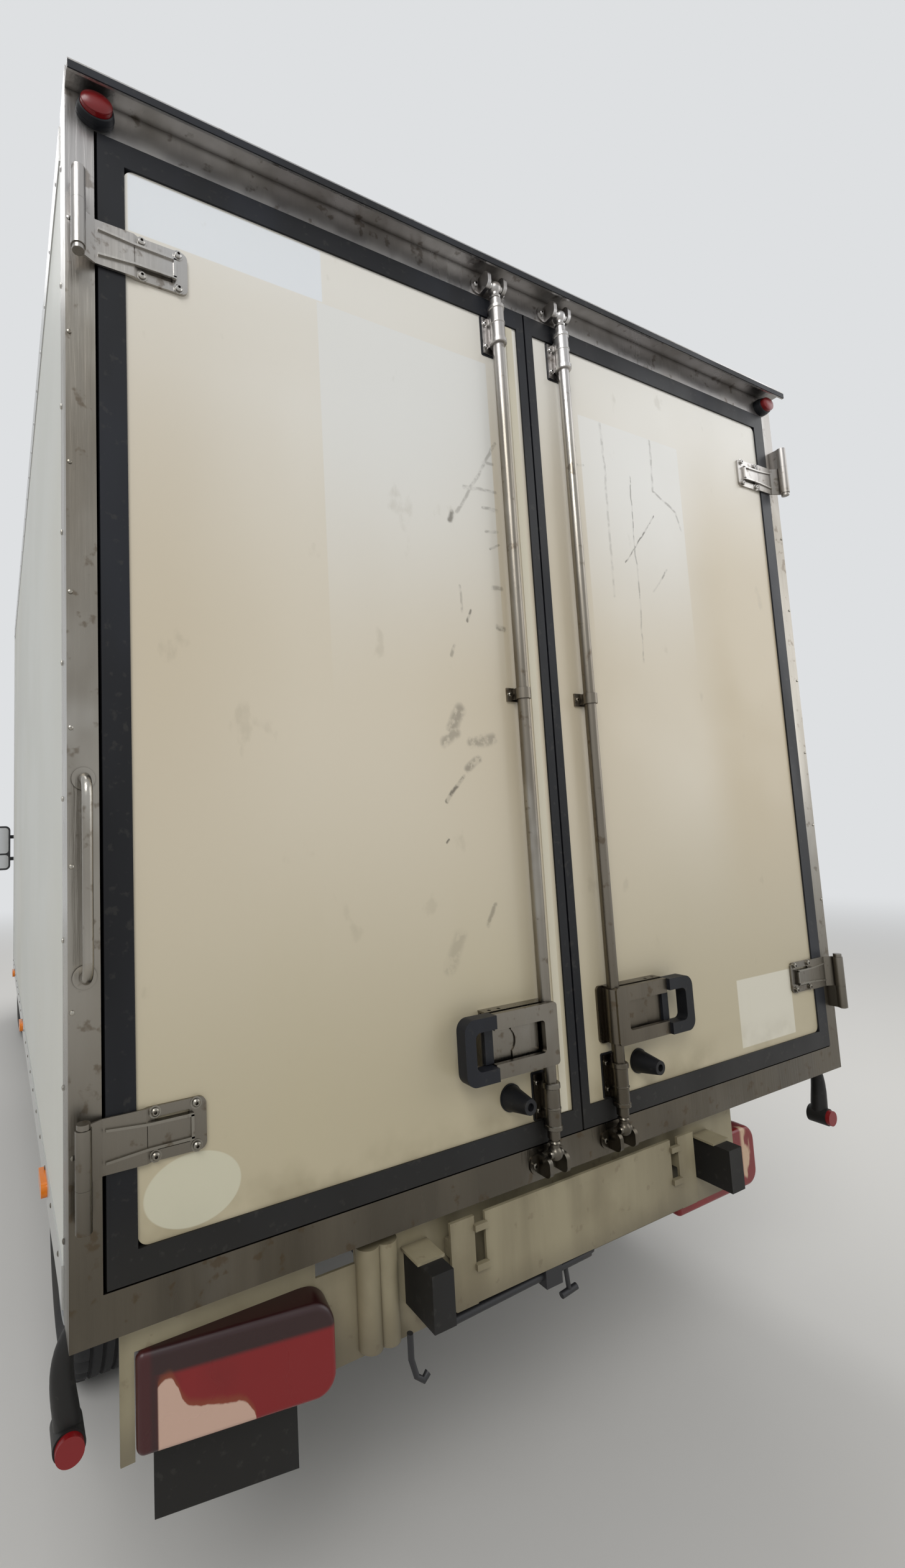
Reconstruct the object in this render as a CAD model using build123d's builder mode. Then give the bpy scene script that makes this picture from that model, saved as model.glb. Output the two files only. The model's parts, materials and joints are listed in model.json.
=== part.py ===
"""A light refrigerated truck: short-bonnet cab, chassis frame and an insulated box with two rear doors.

Millimetres. +X is the truck's right-hand side, +Y its front and +Z up. The origin is on the floor,
midway between the sides and midway between the rearmost and the foremost point.
"""

from math import cos, radians, sin
import os

from build123d import *

os.makedirs("parts", exist_ok=True)

# Clearances
door_gap = 5          # between a moving panel and the opening it closes
running_gap = 0.3     # between a pin, hub or barrel and what turns on it
cut_over = 1          # how far a cut runs past the faces that it opens

# Load box, outside
box_half = 1050
box_length = 3240
box_base_z = 760      # underside of the rear frame
frame_height = 2050   # rear frame, underside to the top of its drip rail
roof_rise = 39        # roof above the drip rail
roof_chamfer = 22
wall = 60             # side walls, front wall and roof
wall_lift = 9         # side walls' lower edge above the frame's underside
floor_thickness = 75
floor_drop = 20       # floor underside above the frame's underside

# Rear frame and its opening
frame_depth = 85
post_width = 48
sill_height = 66
header_drop = 65      # header underside below the top of the drip rail
drip_depth = 45
drip_height = 20
drip_sheet = 4
grab_post_inset = 24
grab_low_z = 1291
grab_high_z = 1597
grab_reach = 50
grab_radius = 8
grab_bend = 30
grab_foot_radius = 18
grab_foot = 4

# Rear doors
door_thickness = 70
door_corner = 18
seal_width = 46
centre_seal_half = 26
seal_proud = 4

# Rear door hinges
hinge_levels = (1039, 2525)
hinge_height = 82
pin_inset = 18        # pin centre from the side of the frame
pin_reach = 30        # pin centre behind the rear face
barrel_radius = 12
pin_radius = 6
pin_head_radius = 10
pin_head = 8
tube_length = 60      # fixed tube beyond the moving barrel
strap_length = 192    # from the pin to the strap's rounded end
strap_sheet = 5
strap_reach = 9       # outer face of the strap where it passes over the seal
strap_corner = 12
strap_panel_half = 20
strap_panel_set_in = 22
strap_slit = 5

# Lock gear on each rear door
rod_offset = 105      # rod centre from the truck's middle
rod_radius = 13
rod_reach = 22        # rod centre behind the skin
cam_rise = 30         # cam head beyond the edge of the seal
cam_radius = 15
cam_neck_radius = 9
cam_neck_length = 45
guide_half = 29
guide_sheet = 4
sleeve_radius = 17
lock_low_z = 998
lock_high_z = 1124
lock_inner_x = 72
lock_outer_x = 268
lock_corner = 10
lock_sheet = 5
lock_sleeve_radius = 20
lock_sleeve_margin = 4
latch_inner_x = 131
latch_outer_x = 283
latch_margin = 16     # latch box below the top and above the bottom of the lock
latch_depth = 23
latch_plate_proud = 3
latch_notch_x = 196   # how far the arc in the latch plate's outer edge reaches inwards
latch_split_x = 206
flange_reach = 23
flange_holes = (225, 250)
flange_hole_radius = 4
lever_reach = (32, 42)
lever_inner_x = 92
lever_outer_x = 262
lever_corner = 8
window_margin = (29, 32)  # of the lever below and above its window
window_inner_x = 128
grip_outer_x = 343
grip_bar = 26
buffer_offset = 196
buffer_z = 938
buffer_reach = 57
buffer_foot_radius = 28
buffer_foot = 3
buffer_radius = 26
buffer_taper = 11
buffer_hole_radius = 8
buffer_hole_depth = 8
keeper_width = 104
keeper_height = 40
keeper_sheet = 3
keeper_lug_inner = 19
keeper_lug = 10
keeper_reach = 34

# Rear bumper
apron_left_x = box_half - 75
apron_right_x = 565
apron_drop = 205
apron_set_in = 30
apron_sheet = 5
apron_slot_x = (560, 640)   # slot between the apron and the frame, beside the ribs
apron_slot_height = 45
rib_x = (497, 535)
rib_radius = 24
rib_drop = (18, 193)        # rib's ends below the frame
block_inner = 407
block_outer = 455
block_projection = 60
block_top_drop = 52
block_bottom_drop = 148
block_plate_projection = 26
block_plate_sheet = 5
block_plate_margin = 6
panel_half = 366
panel_sheet = 6
panel_drop = (20, 178)
panel_slot_x = (281, 308)   # slots that part the middle of the panel from its ends
panel_slot_drop = 118
panel_hook_drops = (36, 108)
panel_hook_height = 12
panel_stay_drops = (60, 150)
panel_stay_height = 30

# Rear lamps and flap
lamp_size = (325, 148)
lamp_corners = (38, 12)     # radius at the lamp's right and left corners
lamp_depth = 50
lamp_edge = 10
lamp_opening = 285
left_lamp_place = (box_half - 97, 21)   # rear left corner: from the middle, ahead of the rear face
left_lamp_top_drop = 50
left_lamp_turn = 8.5        # the left lamp hangs turned outwards, in degrees
right_lamp_x = 340
right_lamp_top_drop = 82
flap_sheet = 6
flap_from_left = 28         # of the left lamp
flap_to_left = 266
flap_top_drop = 20          # below the left lamp's top
flap_base_drop = 282
marker_x = box_half - 50
marker_rise = 2012
marker_half = (33, 25)
marker_lens_half = (27, 20)
marker_foot = 8
marker_reach = 26
arm_lamp_x = box_half - 4
arm_lamp_ahead = 68         # of the rear face
arm_lamp_drop = 156
arm_head_radius = 24
arm_head_half = 24
arm_lens_radius = 21
arm_lens = 10
arm_sections = (
    # below the frame, outboard of the lamp's middle, radius
    (0, -14, 13), (60, 8, 17), (112, 4, 20), (arm_lamp_drop, 0, 20),
)

# Cooling unit
unit_half = 760
unit_lift = 85        # above the cab's roof
unit_drop = 60        # below the box's roof
unit_depth = 330
louvre_count = 7
louvre_pitch = 34
louvre_first = 150
louvre_margin = 200
louvre_depth = 60

# Cab, chassis and running gear
cab_length = 2300
cab_gap = 90          # between the cab's rear wall and the box
front_overhang = 850
wheelbase = 3680
cab_half = 1000
cab_wall = 60
cab_panel = 30        # wings, bonnet and grille
cab_floor_z = 620
cab_floor_sheet = 50
cab_roof_z = 2250
tyre_radius = 343
rim_radius = 203
track_half = 875
wheel_face = 55       # hub face outboard of the wheel's middle
rail_inner = 370
rail_outer = 430
rail_top = 700
rail_height = 140
rail_drop = 150       # how far the rails step down under the cab
rail_web = 5
cross_half = 30       # half the depth of a cross member, fore and aft
cross_inset = 25
bearer_count = 7
bearer_half = 720
bearer_depth = 50
arch_clearance = 62
kingpin_x = 815
kingpin_radius = 14
upright_z = (264, 448)
steer_arm = 120
steer_z = 300
hub_radius = 30
hub_flange_radius = 70
hub_flange = 30

# Cab doors and bonnet
shut_gap = 7          # round a cab door
shut_step = 14        # the door's inner casing set in from its outer panel
bonnet_gap = 8
door_hinge_levels = (1078, 1290)
small_barrel_radius = 7
small_pin_radius = 3
small_barrel_length = 30
small_knuckle_length = 22
bonnet_hinge_x = 600
bonnet_hinge_z = 1321
wing_top_z = 1027
bumper_depth = 170    # from the bumper's nose to the face that the rails' ends hold

# Derived places
overall_length = cab_length + cab_gap + box_length + block_projection
front_y = overall_length / 2
front_axle_y = front_y - front_overhang
rear_axle_y = front_axle_y - wheelbase
cab_rear_y = front_y - cab_length
box_front_y = cab_rear_y - cab_gap
box_rear_y = box_front_y - box_length
frame_top_z = box_base_z + frame_height
roof_top_z = frame_top_z + roof_rise
floor_base_z = box_base_z + floor_drop
floor_top_z = floor_base_z + floor_thickness
roof_base_z = roof_top_z - wall
post_inner = box_half - post_width
sill_top_z = box_base_z + sill_height
header_base_z = frame_top_z - header_drop
seal_outer = post_inner - door_gap
seal_low_z = sill_top_z + door_gap
seal_high_z = header_base_z - door_gap
skin_outer = seal_outer - seal_width
skin_low_z = seal_low_z + seal_width
skin_high_z = seal_high_z - seal_width
pin_x = box_half - pin_inset
pin_y = box_rear_y - pin_reach
rod_y = box_rear_y - rod_reach
interior_half = box_half - wall
shell_rear_y = box_rear_y + frame_depth
apron_y = box_rear_y + apron_set_in
arch_radius = tyre_radius + arch_clearance
low_rail_top = rail_top - rail_drop
low_rail_base = low_rail_top - rail_height
wheel_face_x = track_half + wheel_face
door_hinge_x = cab_half - 3
up = (0, 0, 1)
across = (1, 0, 0)
rearward = (0, -1, 0)


def span(low, high):
    """A range with its ends in order."""
    return (min(low, high), max(low, high))


def about(middle, half):
    """A range to both sides of its middle."""
    return (middle - half, middle + half)


def block(x_range, y_range, z_range, mode=Mode.ADD):
    """Puts a block between two corners into the part being built."""
    ranges = (x_range, y_range, z_range)
    middle = tuple((low + high) / 2 for low, high in ranges)
    sizes = [high - low for low, high in ranges]
    with Locations(middle):
        Box(*sizes, mode=mode)


def barrel(centre, direction, reach, radius, mode=Mode.ADD):
    """A round bar about an axis through centre, over a range of distances along it."""
    with BuildSketch(Plane(origin=centre, z_dir=direction).offset(reach[0])) as profile:
        Circle(radius)
    extrude(profile.sketch, amount=reach[1] - reach[0], mode=mode)


def upright(centre, z_range, radius, mode=Mode.ADD):
    """A vertical round bar at a place in plan."""
    barrel((*centre, 0), up, z_range, radius, mode)


def rear_plate(centre, size, corner, behind, mode=Mode.ADD):
    """A plate with rounded corners that faces the rear, over a range of distances behind the rear face."""
    with BuildSketch(Plane.XZ.offset(behind[0] - box_rear_y)) as profile:
        with Locations(centre):
            RectangleRounded(*size, corner)
    extrude(profile.sketch, amount=behind[1] - behind[0], mode=mode)


def rear_oval(centre, halves, behind):
    """An oval boss that faces the rear, over a range of distances behind the rear face."""
    with BuildSketch(Plane.XZ.offset(behind[0] - box_rear_y)) as profile:
        with Locations(centre):
            Ellipse(*halves)
    extrude(profile.sketch, amount=behind[1] - behind[0])


def behind_rear(near, far):
    """The range of y between two distances behind the rear face."""
    return (box_rear_y - far, box_rear_y - near)


def side_prism(points, x_range, inset=0):
    """A prism whose outline is drawn from the side, as distances ahead of the front axle and heights."""
    with BuildPart() as prism:
        with BuildSketch(Plane.YZ.offset(x_range[0])):
            with BuildLine():
                Polyline(*[(front_axle_y + ahead, z) for ahead, z in points], close=True)
            make_face()
            if inset:
                offset(amount=-inset, kind=Kind.INTERSECTION, mode=Mode.REPLACE)
        extrude(amount=x_range[1] - x_range[0])
    return prism.part


def keep(builder, label):
    """Names a finished piece and writes it out."""
    builder.part.label = label
    export_step(builder.part, f"parts/{label}.step")


def keep_pair(builder, label):
    """Writes a left-hand piece and its mirror image."""
    keep(builder, label + "_left")
    with BuildPart() as right:
        mirror(builder.part, about=Plane.YZ)
    keep(right, label + "_right")


# Chassis frame: two channel rails that step down under the cab, and their cross members
rail_rear_y = box_rear_y + 90
rail_nose_y = front_y - bumper_depth
rail_step_y = (cab_rear_y - 260, cab_rear_y + 40)
rail_outline = (
    (rail_rear_y, rail_top), (rail_step_y[0], rail_top), (rail_step_y[1], low_rail_top),
    (rail_nose_y, low_rail_top), (rail_nose_y, low_rail_base), (rail_step_y[1], low_rail_base),
    (rail_step_y[0], rail_top - rail_height), (rail_rear_y, rail_top - rail_height),
)
cross_members = (
    # middle, underside of the rail there
    (box_rear_y + 140, rail_top - rail_height), ((box_rear_y + rear_axle_y) / 2 - 70, rail_top - rail_height),
    (rear_axle_y + 620, rail_top - rail_height), (box_front_y - 420, rail_top - rail_height),
    (cab_rear_y + 300, low_rail_base), (front_axle_y - 420, low_rail_base),
    (front_axle_y + 375, low_rail_base),
)
with BuildPart() as chassis_frame:
    with BuildSketch(Plane.YZ.offset(rail_inner)):
        with BuildLine():
            Polyline(*rail_outline, close=True)
        make_face()
    extrude(amount=rail_outer - rail_inner)
    with BuildSketch(Plane.YZ.offset(rail_inner - cut_over)):
        with BuildLine():
            Polyline(*rail_outline, close=True)
        make_face()
        offset(amount=-rail_web, mode=Mode.REPLACE)
    extrude(amount=rail_outer - rail_inner + cut_over - rail_web, mode=Mode.SUBTRACT)
    mirror(about=Plane.YZ)
    for middle_y, base_z in cross_members:
        block((rail_web - rail_outer, rail_outer - rail_web), about(middle_y, cross_half),
              (base_z + cross_inset, base_z + rail_height - cross_inset))
keep(chassis_frame, "chassis_frame")

# Bearers: bars across the rails that carry the box's floor
bearer_first_y = box_rear_y + 130
bearer_last_y = box_front_y - 210
bearer_pitch = (bearer_last_y - bearer_first_y) / (bearer_count - 1)
with BuildPart() as box_bearers:
    for place in range(bearer_count):
        block((-bearer_half, bearer_half), about(bearer_first_y + place * bearer_pitch, bearer_depth / 2),
              (rail_top, floor_base_z))
keep(box_bearers, "box_bearers")

# Box floor, side walls, front wall and roof
with BuildPart() as box_floor:
    block((-interior_half, interior_half), (shell_rear_y, box_front_y - wall), (floor_base_z, floor_top_z))
keep(box_floor, "box_floor")

with BuildPart() as box_side_walls:
    block((interior_half, box_half), (shell_rear_y, box_front_y), (box_base_z + wall_lift, roof_base_z))
    mirror(about=Plane.YZ)
keep(box_side_walls, "box_side_walls")

with BuildPart() as box_front_wall:
    block((-interior_half, interior_half), (box_front_y - wall, box_front_y), (floor_base_z, roof_base_z))
keep(box_front_wall, "box_front_wall")

with BuildPart() as box_roof:
    block((-box_half, box_half), (shell_rear_y, box_front_y), (roof_base_z, roof_top_z))
    top_edges = box_roof.edges().filter_by(Axis.Y).group_by(Axis.Z)[-1]
    chamfer(top_edges, length=roof_chamfer)
keep(box_roof, "box_roof")

# Rear frame: posts, sill and header in one, with the drip rail, hinge tubes and pins, lock keepers
# and grab handle
hinges = (
    # level, way that the fixed tube stands from the moving barrel
    (hinge_levels[0], -1), (hinge_levels[1], 1),
)
barrel_end = hinge_height / 2 + running_gap
keeper_levels = (box_base_z + sill_height / 2, (header_base_z + frame_top_z - drip_height) / 2)
grab_x = grab_post_inset - box_half
with BuildPart() as rear_frame:
    block((-box_half, box_half), (box_rear_y, shell_rear_y), (box_base_z, roof_top_z))
    block((-post_inner, post_inner), (box_rear_y - cut_over, shell_rear_y + cut_over),
          (sill_top_z, header_base_z), mode=Mode.SUBTRACT)
    block((-box_half, box_half), behind_rear(0, drip_depth), (frame_top_z - drip_sheet, frame_top_z))
    block((-box_half, box_half), behind_rear(drip_depth - drip_sheet, drip_depth),
          (frame_top_z - drip_height, frame_top_z))
    for side in (-1, 1):
        pin_place = (side * pin_x, pin_y)
        for level, way in hinges:
            tube_z = span(level + way * barrel_end, level + way * (barrel_end + tube_length))
            upright(pin_place, tube_z, barrel_radius)
            block(about(side * pin_x, barrel_radius - 3), behind_rear(0, pin_reach), tube_z)
            pin_low = level - way * (barrel_end + pin_head)
            upright(pin_place, span(pin_low, level + way * (barrel_end + pin_head)), pin_radius)
            upright(pin_place, span(pin_low, level - way * barrel_end), pin_head_radius)
        for level in keeper_levels:
            rear_plate((side * rod_offset, level), (keeper_width, keeper_height),
                       keeper_height / 2 - cut_over, (0, keeper_sheet))
            for lug_side in (-1, 1):
                lug_x = side * rod_offset + lug_side * (keeper_lug_inner + keeper_lug / 2)
                with BuildSketch(Plane.YZ.offset(lug_x - keeper_lug / 2)) as lug:
                    with BuildLine():
                        FilletPolyline((box_rear_y, level - keeper_height / 2),
                                       (box_rear_y - keeper_reach, level - keeper_height / 2),
                                       (box_rear_y - keeper_reach, level + keeper_height / 2),
                                       (box_rear_y, level + keeper_height / 2),
                                       radius=(0, keeper_height / 3, keeper_height / 3, 0), close=True)
                    make_face()
                extrude(lug.sketch, amount=keeper_lug)
    grab_start = (grab_x, box_rear_y + cut_over, grab_low_z)
    with BuildLine() as grab_path:
        FilletPolyline(grab_start, (grab_x, box_rear_y - grab_reach, grab_low_z),
                       (grab_x, box_rear_y - grab_reach, grab_high_z),
                       (grab_x, box_rear_y + cut_over, grab_high_z), radius=grab_bend)
    with BuildSketch(Plane(origin=grab_start, z_dir=rearward)) as grab_section:
        Circle(grab_radius)
    sweep(grab_section.sketch, path=grab_path.wires()[0])
    for foot_z in (grab_low_z, grab_high_z):
        barrel((grab_x, box_rear_y, foot_z), rearward, (-cut_over, grab_foot), grab_foot_radius)
keep(rear_frame, "rear_frame")

# Rear doors: an insulated panel each, framed by a rubber seal
with BuildPart() as rear_door:
    block((-skin_outer, -centre_seal_half), (box_rear_y, box_rear_y + door_thickness),
          (skin_low_z, skin_high_z))
    skin_corners = rear_door.edges().filter_by(Axis.Y).sort_by(Axis.X)[:2]
    fillet(skin_corners, radius=door_corner)
keep_pair(rear_door, "rear_door")

# Hinge straps and lock gear on a rear door
strap_outline = (
    # distance from the truck's middle, distance behind the rear face
    (pin_x - strap_length, 0), (skin_outer - 18, 0), (skin_outer - 10, strap_reach - 4),
    (seal_outer + 1, strap_reach - 4), (pin_x, pin_reach - barrel_radius),
    (pin_x, pin_reach - barrel_radius + 6), (pin_x - 30, strap_reach), (skin_outer - 14, strap_reach),
    (skin_outer - 22, strap_sheet),
    (pin_x - strap_length, strap_sheet),
)
guides = (
    # plate's ends, sleeve's ends
    ((skin_low_z + 5, skin_low_z + 95), (skin_low_z - 12, skin_low_z + 80)),
    (about((skin_low_z + skin_high_z) / 2, 15), about((skin_low_z + skin_high_z) / 2, 12)),
    ((skin_high_z - 95, skin_high_z - 5), (skin_high_z - 80, skin_high_z + 12)),
)
rod_place = (-rod_offset, rod_y)
cam_low_z = seal_low_z - cam_rise
cam_high_z = seal_high_z + cam_rise
lock_mid_z = (lock_low_z + lock_high_z) / 2
lock_height = lock_high_z - lock_low_z
latch_height = lock_height - 2 * latch_margin
latch_base_z = lock_low_z + latch_margin + latch_plate_proud
latch_top_z = lock_high_z - latch_margin - latch_plate_proud
latch_notch_half = lock_height / 6
window_low_z = lock_low_z + window_margin[0]
window_high_z = lock_high_z - window_margin[1]
lever_outline = (
    # distance from the truck's middle, height, corner radius
    (lever_outer_x, lock_low_z, 0), (lever_inner_x, lock_low_z, lever_corner),
    (lever_inner_x, lock_high_z, lever_corner), (lever_outer_x, lock_high_z, 0),
    (lever_outer_x, window_high_z, 0), (window_inner_x, window_high_z, lever_corner),
    (window_inner_x, window_low_z, lever_corner), (lever_outer_x, window_low_z, 0),
)
with BuildPart() as rear_fittings:
    for level in hinge_levels:
        with BuildSketch(Plane.XY.offset(level - hinge_height / 2)) as strap:
            with BuildLine():
                Polyline(*[(-x, box_rear_y - behind) for x, behind in strap_outline], close=True)
            make_face()
            with Locations((-pin_x, pin_y)):
                Circle(barrel_radius)
                Circle(pin_radius + running_gap, mode=Mode.SUBTRACT)
        extrude(strap.sketch, amount=hinge_height)
    strap_corners = rear_fittings.edges().filter_by(Axis.Y).group_by(Axis.X)[-1]
    fillet(strap_corners, radius=strap_corner)
    panel_x = (16 - skin_outer, strap_length - strap_panel_set_in - pin_x)
    for level in hinge_levels:
        block(panel_x, behind_rear(strap_sheet - 1, strap_reach), about(level, strap_panel_half))
        for slit_z in (level - strap_panel_half - strap_slit, level + strap_panel_half):
            block((panel_x[0] + 12, panel_x[1] - 6), behind_rear(-cut_over, strap_reach + cut_over),
                  (slit_z, slit_z + strap_slit), mode=Mode.SUBTRACT)
    # Rod with its cam heads and guides
    upright(rod_place, (cam_low_z + cam_neck_length, cam_high_z - cam_neck_length), rod_radius)
    for end_z, way in ((cam_low_z, 1), (cam_high_z, -1)):
        upright(rod_place, span(end_z + way * cam_radius, end_z + way * cam_neck_length), cam_neck_radius)
        with Locations((*rod_place, end_z + way * cam_radius)):
            Sphere(cam_radius)
    for plate_z, sleeve_z in guides:
        block(about(-rod_offset, guide_half), behind_rear(0, guide_sheet), plate_z)
        upright(rod_place, sleeve_z, sleeve_radius)
        saddle_z = (max(plate_z[0], sleeve_z[0]), min(plate_z[1], sleeve_z[1]))
        block(about(-rod_offset, sleeve_radius - 3), behind_rear(0, rod_reach), saddle_z)
    # Lock: back plate with a pierced top flange, latch box with its notched plate, and the windowed
    # lever that turns with the sleeve on the rod
    rear_plate((-(lock_inner_x + lock_outer_x) / 2, lock_mid_z), (lock_outer_x - lock_inner_x, lock_height),
               lock_corner, (0, lock_sheet))
    block((-lock_outer_x, -lever_inner_x), behind_rear(0, flange_reach),
          (lock_high_z - lock_sleeve_margin, lock_high_z))
    for hole_x in flange_holes:
        upright((-hole_x, box_rear_y - (lock_sheet + flange_reach) / 2),
                (lock_high_z - lock_sleeve_margin - cut_over, lock_high_z + cut_over), flange_hole_radius,
                mode=Mode.SUBTRACT)
    rear_plate((-(latch_inner_x + latch_outer_x) / 2, lock_mid_z),
               (latch_outer_x - latch_inner_x, latch_height), lock_corner, (0, latch_depth))
    with BuildSketch(Plane.XZ.offset(latch_depth - box_rear_y)) as latch_plate:
        with BuildLine():
            Polyline((-latch_split_x, lock_mid_z + latch_notch_half), (-latch_split_x, latch_top_z),
                     (-latch_inner_x - latch_plate_proud, latch_top_z),
                     (-latch_inner_x - latch_plate_proud, latch_base_z), (-latch_split_x, latch_base_z),
                     (-latch_split_x, lock_mid_z - latch_notch_half))
            ThreePointArc((-latch_split_x, lock_mid_z - latch_notch_half), (-latch_notch_x, lock_mid_z),
                          (-latch_split_x, lock_mid_z + latch_notch_half))
        make_face()
    extrude(latch_plate.sketch, amount=latch_plate_proud)
    lock_sleeve_z = (lock_low_z + lock_sleeve_margin, lock_high_z - lock_sleeve_margin)
    upright(rod_place, lock_sleeve_z, lock_sleeve_radius)
    block(about(-rod_offset, lock_sleeve_radius - 3), behind_rear(0, rod_reach), lock_sleeve_z)
    with BuildSketch(Plane.XZ.offset(lever_reach[0] - box_rear_y)) as lever:
        with BuildLine():
            FilletPolyline(*[(-x, z) for x, z, _ in lever_outline], radius=[r for _, _, r in lever_outline],
                           close=True)
        make_face()
    extrude(lever.sketch, amount=lever_reach[1] - lever_reach[0])
keep_pair(rear_fittings, "rear_fittings")

# Rubber on a rear door: the seal round its panel, the lock's grip and the buffer
grip_outline = (
    # distance from the truck's middle, height, corner radius
    (lever_outer_x, lock_low_z, 0), (grip_outer_x, lock_low_z, grip_bar - 2),
    (grip_outer_x, lock_high_z, grip_bar - 2), (lever_outer_x, lock_high_z, 0),
    (lever_outer_x, lock_high_z - grip_bar, 0),
    (grip_outer_x - grip_bar, lock_high_z - grip_bar, grip_bar / 2),
    (grip_outer_x - grip_bar, lock_low_z + grip_bar, grip_bar / 2), (lever_outer_x, lock_low_z + grip_bar, 0),
)
grip_start = sum(lever_reach) / 2 - grip_bar / 2
with BuildPart() as rear_door_rubber:
    block((-seal_outer, -door_gap / 2), behind_rear(-door_thickness, seal_proud), (seal_low_z, seal_high_z))
    block((-skin_outer, -centre_seal_half), behind_rear(-door_thickness - cut_over, seal_proud + cut_over),
          (skin_low_z, skin_high_z), mode=Mode.SUBTRACT)
    with BuildSketch(Plane.XZ.offset(grip_start - box_rear_y)) as grip:
        with BuildLine():
            FilletPolyline(*[(-x, z) for x, z, _ in grip_outline], radius=[r for _, _, r in grip_outline],
                           close=True)
        make_face()
    extrude(grip.sketch, amount=grip_bar)
    buffer_place = (-buffer_offset, box_rear_y, buffer_z)
    barrel(buffer_place, rearward, (0, buffer_foot), buffer_foot_radius)
    with BuildSketch(Plane(origin=buffer_place, z_dir=rearward).offset(buffer_foot)) as cone:
        Circle(buffer_radius)
    extrude(cone.sketch, amount=buffer_reach - buffer_foot, taper=buffer_taper)
    barrel(buffer_place, rearward, (buffer_reach - buffer_hole_depth, buffer_reach + cut_over),
           buffer_hole_radius, mode=Mode.SUBTRACT)
keep_pair(rear_door_rubber, "rear_door_rubber")

# Rear bumper: pressed apron that stops short on the right, with ribs, a slot and a lamp opening on
# the left, and a slotted centre panel on its stays
apron_low_z = box_base_z - apron_drop
apron_front = apron_y + apron_sheet
left_lamp_x = -left_lamp_place[0]
left_lamp_top = box_base_z - left_lamp_top_drop
with BuildPart() as rear_bumper:
    block((-apron_left_x, apron_right_x), (apron_y, apron_front), (apron_low_z, box_base_z))
    block((left_lamp_x, left_lamp_x + lamp_opening), (apron_y - cut_over, apron_front + cut_over),
          (apron_low_z - cut_over, left_lamp_top), mode=Mode.SUBTRACT)
    block((-apron_slot_x[1], -apron_slot_x[0]), (apron_y - cut_over, apron_front + cut_over),
          (box_base_z - apron_slot_height, box_base_z + cut_over), mode=Mode.SUBTRACT)
    for middle_x in rib_x:
        with BuildSketch(Plane.XY.offset(box_base_z - rib_drop[1])) as rib:
            with Locations((-middle_x, apron_y)):
                Circle(rib_radius)
            with Locations((-middle_x, apron_front + rib_radius)):
                Rectangle(3 * rib_radius, 2 * rib_radius, mode=Mode.SUBTRACT)
        extrude(rib.sketch, amount=rib_drop[1] - rib_drop[0])
    block((-panel_half, panel_half), (box_rear_y, box_rear_y + panel_sheet),
          (box_base_z - panel_drop[1], box_base_z - panel_drop[0]))
    for side in (-1, 1):
        block_top_z = box_base_z - block_top_drop
        block(span(side * (block_inner - block_plate_margin), side * (block_outer + block_plate_margin)),
              (box_rear_y - block_plate_projection, apron_y), (block_top_z, block_top_z + block_plate_sheet))
        block(span(side * panel_slot_x[0], side * panel_slot_x[1]),
              (box_rear_y - cut_over, box_rear_y + panel_sheet + cut_over),
              (box_base_z - panel_slot_drop, box_base_z), mode=Mode.SUBTRACT)
        for drop in panel_hook_drops:
            block(span(side * (panel_slot_x[0] - 2), side * (panel_slot_x[1] + 2)),
                  (box_rear_y - panel_sheet, box_rear_y + panel_sheet / 2),
                  (box_base_z - drop - panel_hook_height, box_base_z - drop))
        for drop in panel_stay_drops:
            block(span(side * panel_slot_x[1], side * (panel_half - panel_sheet)), (box_rear_y, apron_y),
                  (box_base_z - drop - panel_stay_height, box_base_z - drop))
keep(rear_bumper, "rear_bumper")


def lamp_plane(place, top_z, turn):
    """The plane of a tail lamp's rear face, from its upper left corner. Turned, its left end stands ahead."""
    across_lamp = (cos(radians(turn)), -sin(radians(turn)), 0)
    out_of_lamp = (-sin(radians(turn)), -cos(radians(turn)), 0)
    return Plane(origin=(*place, top_z), x_dir=across_lamp, z_dir=out_of_lamp)


def tail_lamp(plane):
    """A tail lamp ahead of a plane, with rounded corners and rear edges."""
    width, height = lamp_size
    right_radius, left_radius = lamp_corners
    with BuildPart() as lamp:
        with BuildSketch(plane) as outline:
            with BuildLine():
                FilletPolyline((0, 0), (width, 0), (width, -height), (0, -height),
                               radius=(left_radius, right_radius, right_radius, left_radius), close=True)
            make_face()
        extrude(outline.sketch, amount=-lamp_depth)
        rear_face = lamp.faces().sort_by(Axis(plane.origin, plane.z_dir))[-1]
        fillet(rear_face.edges(), radius=lamp_edge)
    return lamp.part


# Tail lamps, marker lamps at the frame's top corners, and marker lamps on arms below its lower corners
left_lamp_plane = lamp_plane((left_lamp_x, box_rear_y + left_lamp_place[1]), left_lamp_top, left_lamp_turn)
right_lamp_plane = lamp_plane((right_lamp_x, apron_front), box_base_z - right_lamp_top_drop, 0)
marker_z = box_base_z + marker_rise
arm_lamp_y = box_rear_y + arm_lamp_ahead
arm_lamp_z = box_base_z - arm_lamp_drop
with BuildPart() as rear_lamps:
    for side in (-1, 1):
        rear_oval((side * marker_x, marker_z), marker_lens_half, (marker_foot, marker_reach))
        barrel((side * arm_lamp_x, arm_lamp_y, arm_lamp_z), rearward,
               (arm_head_half, arm_head_half + arm_lens), arm_lens_radius)
    add([tail_lamp(left_lamp_plane), tail_lamp(right_lamp_plane)])
keep(rear_lamps, "rear_lamps")

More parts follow.
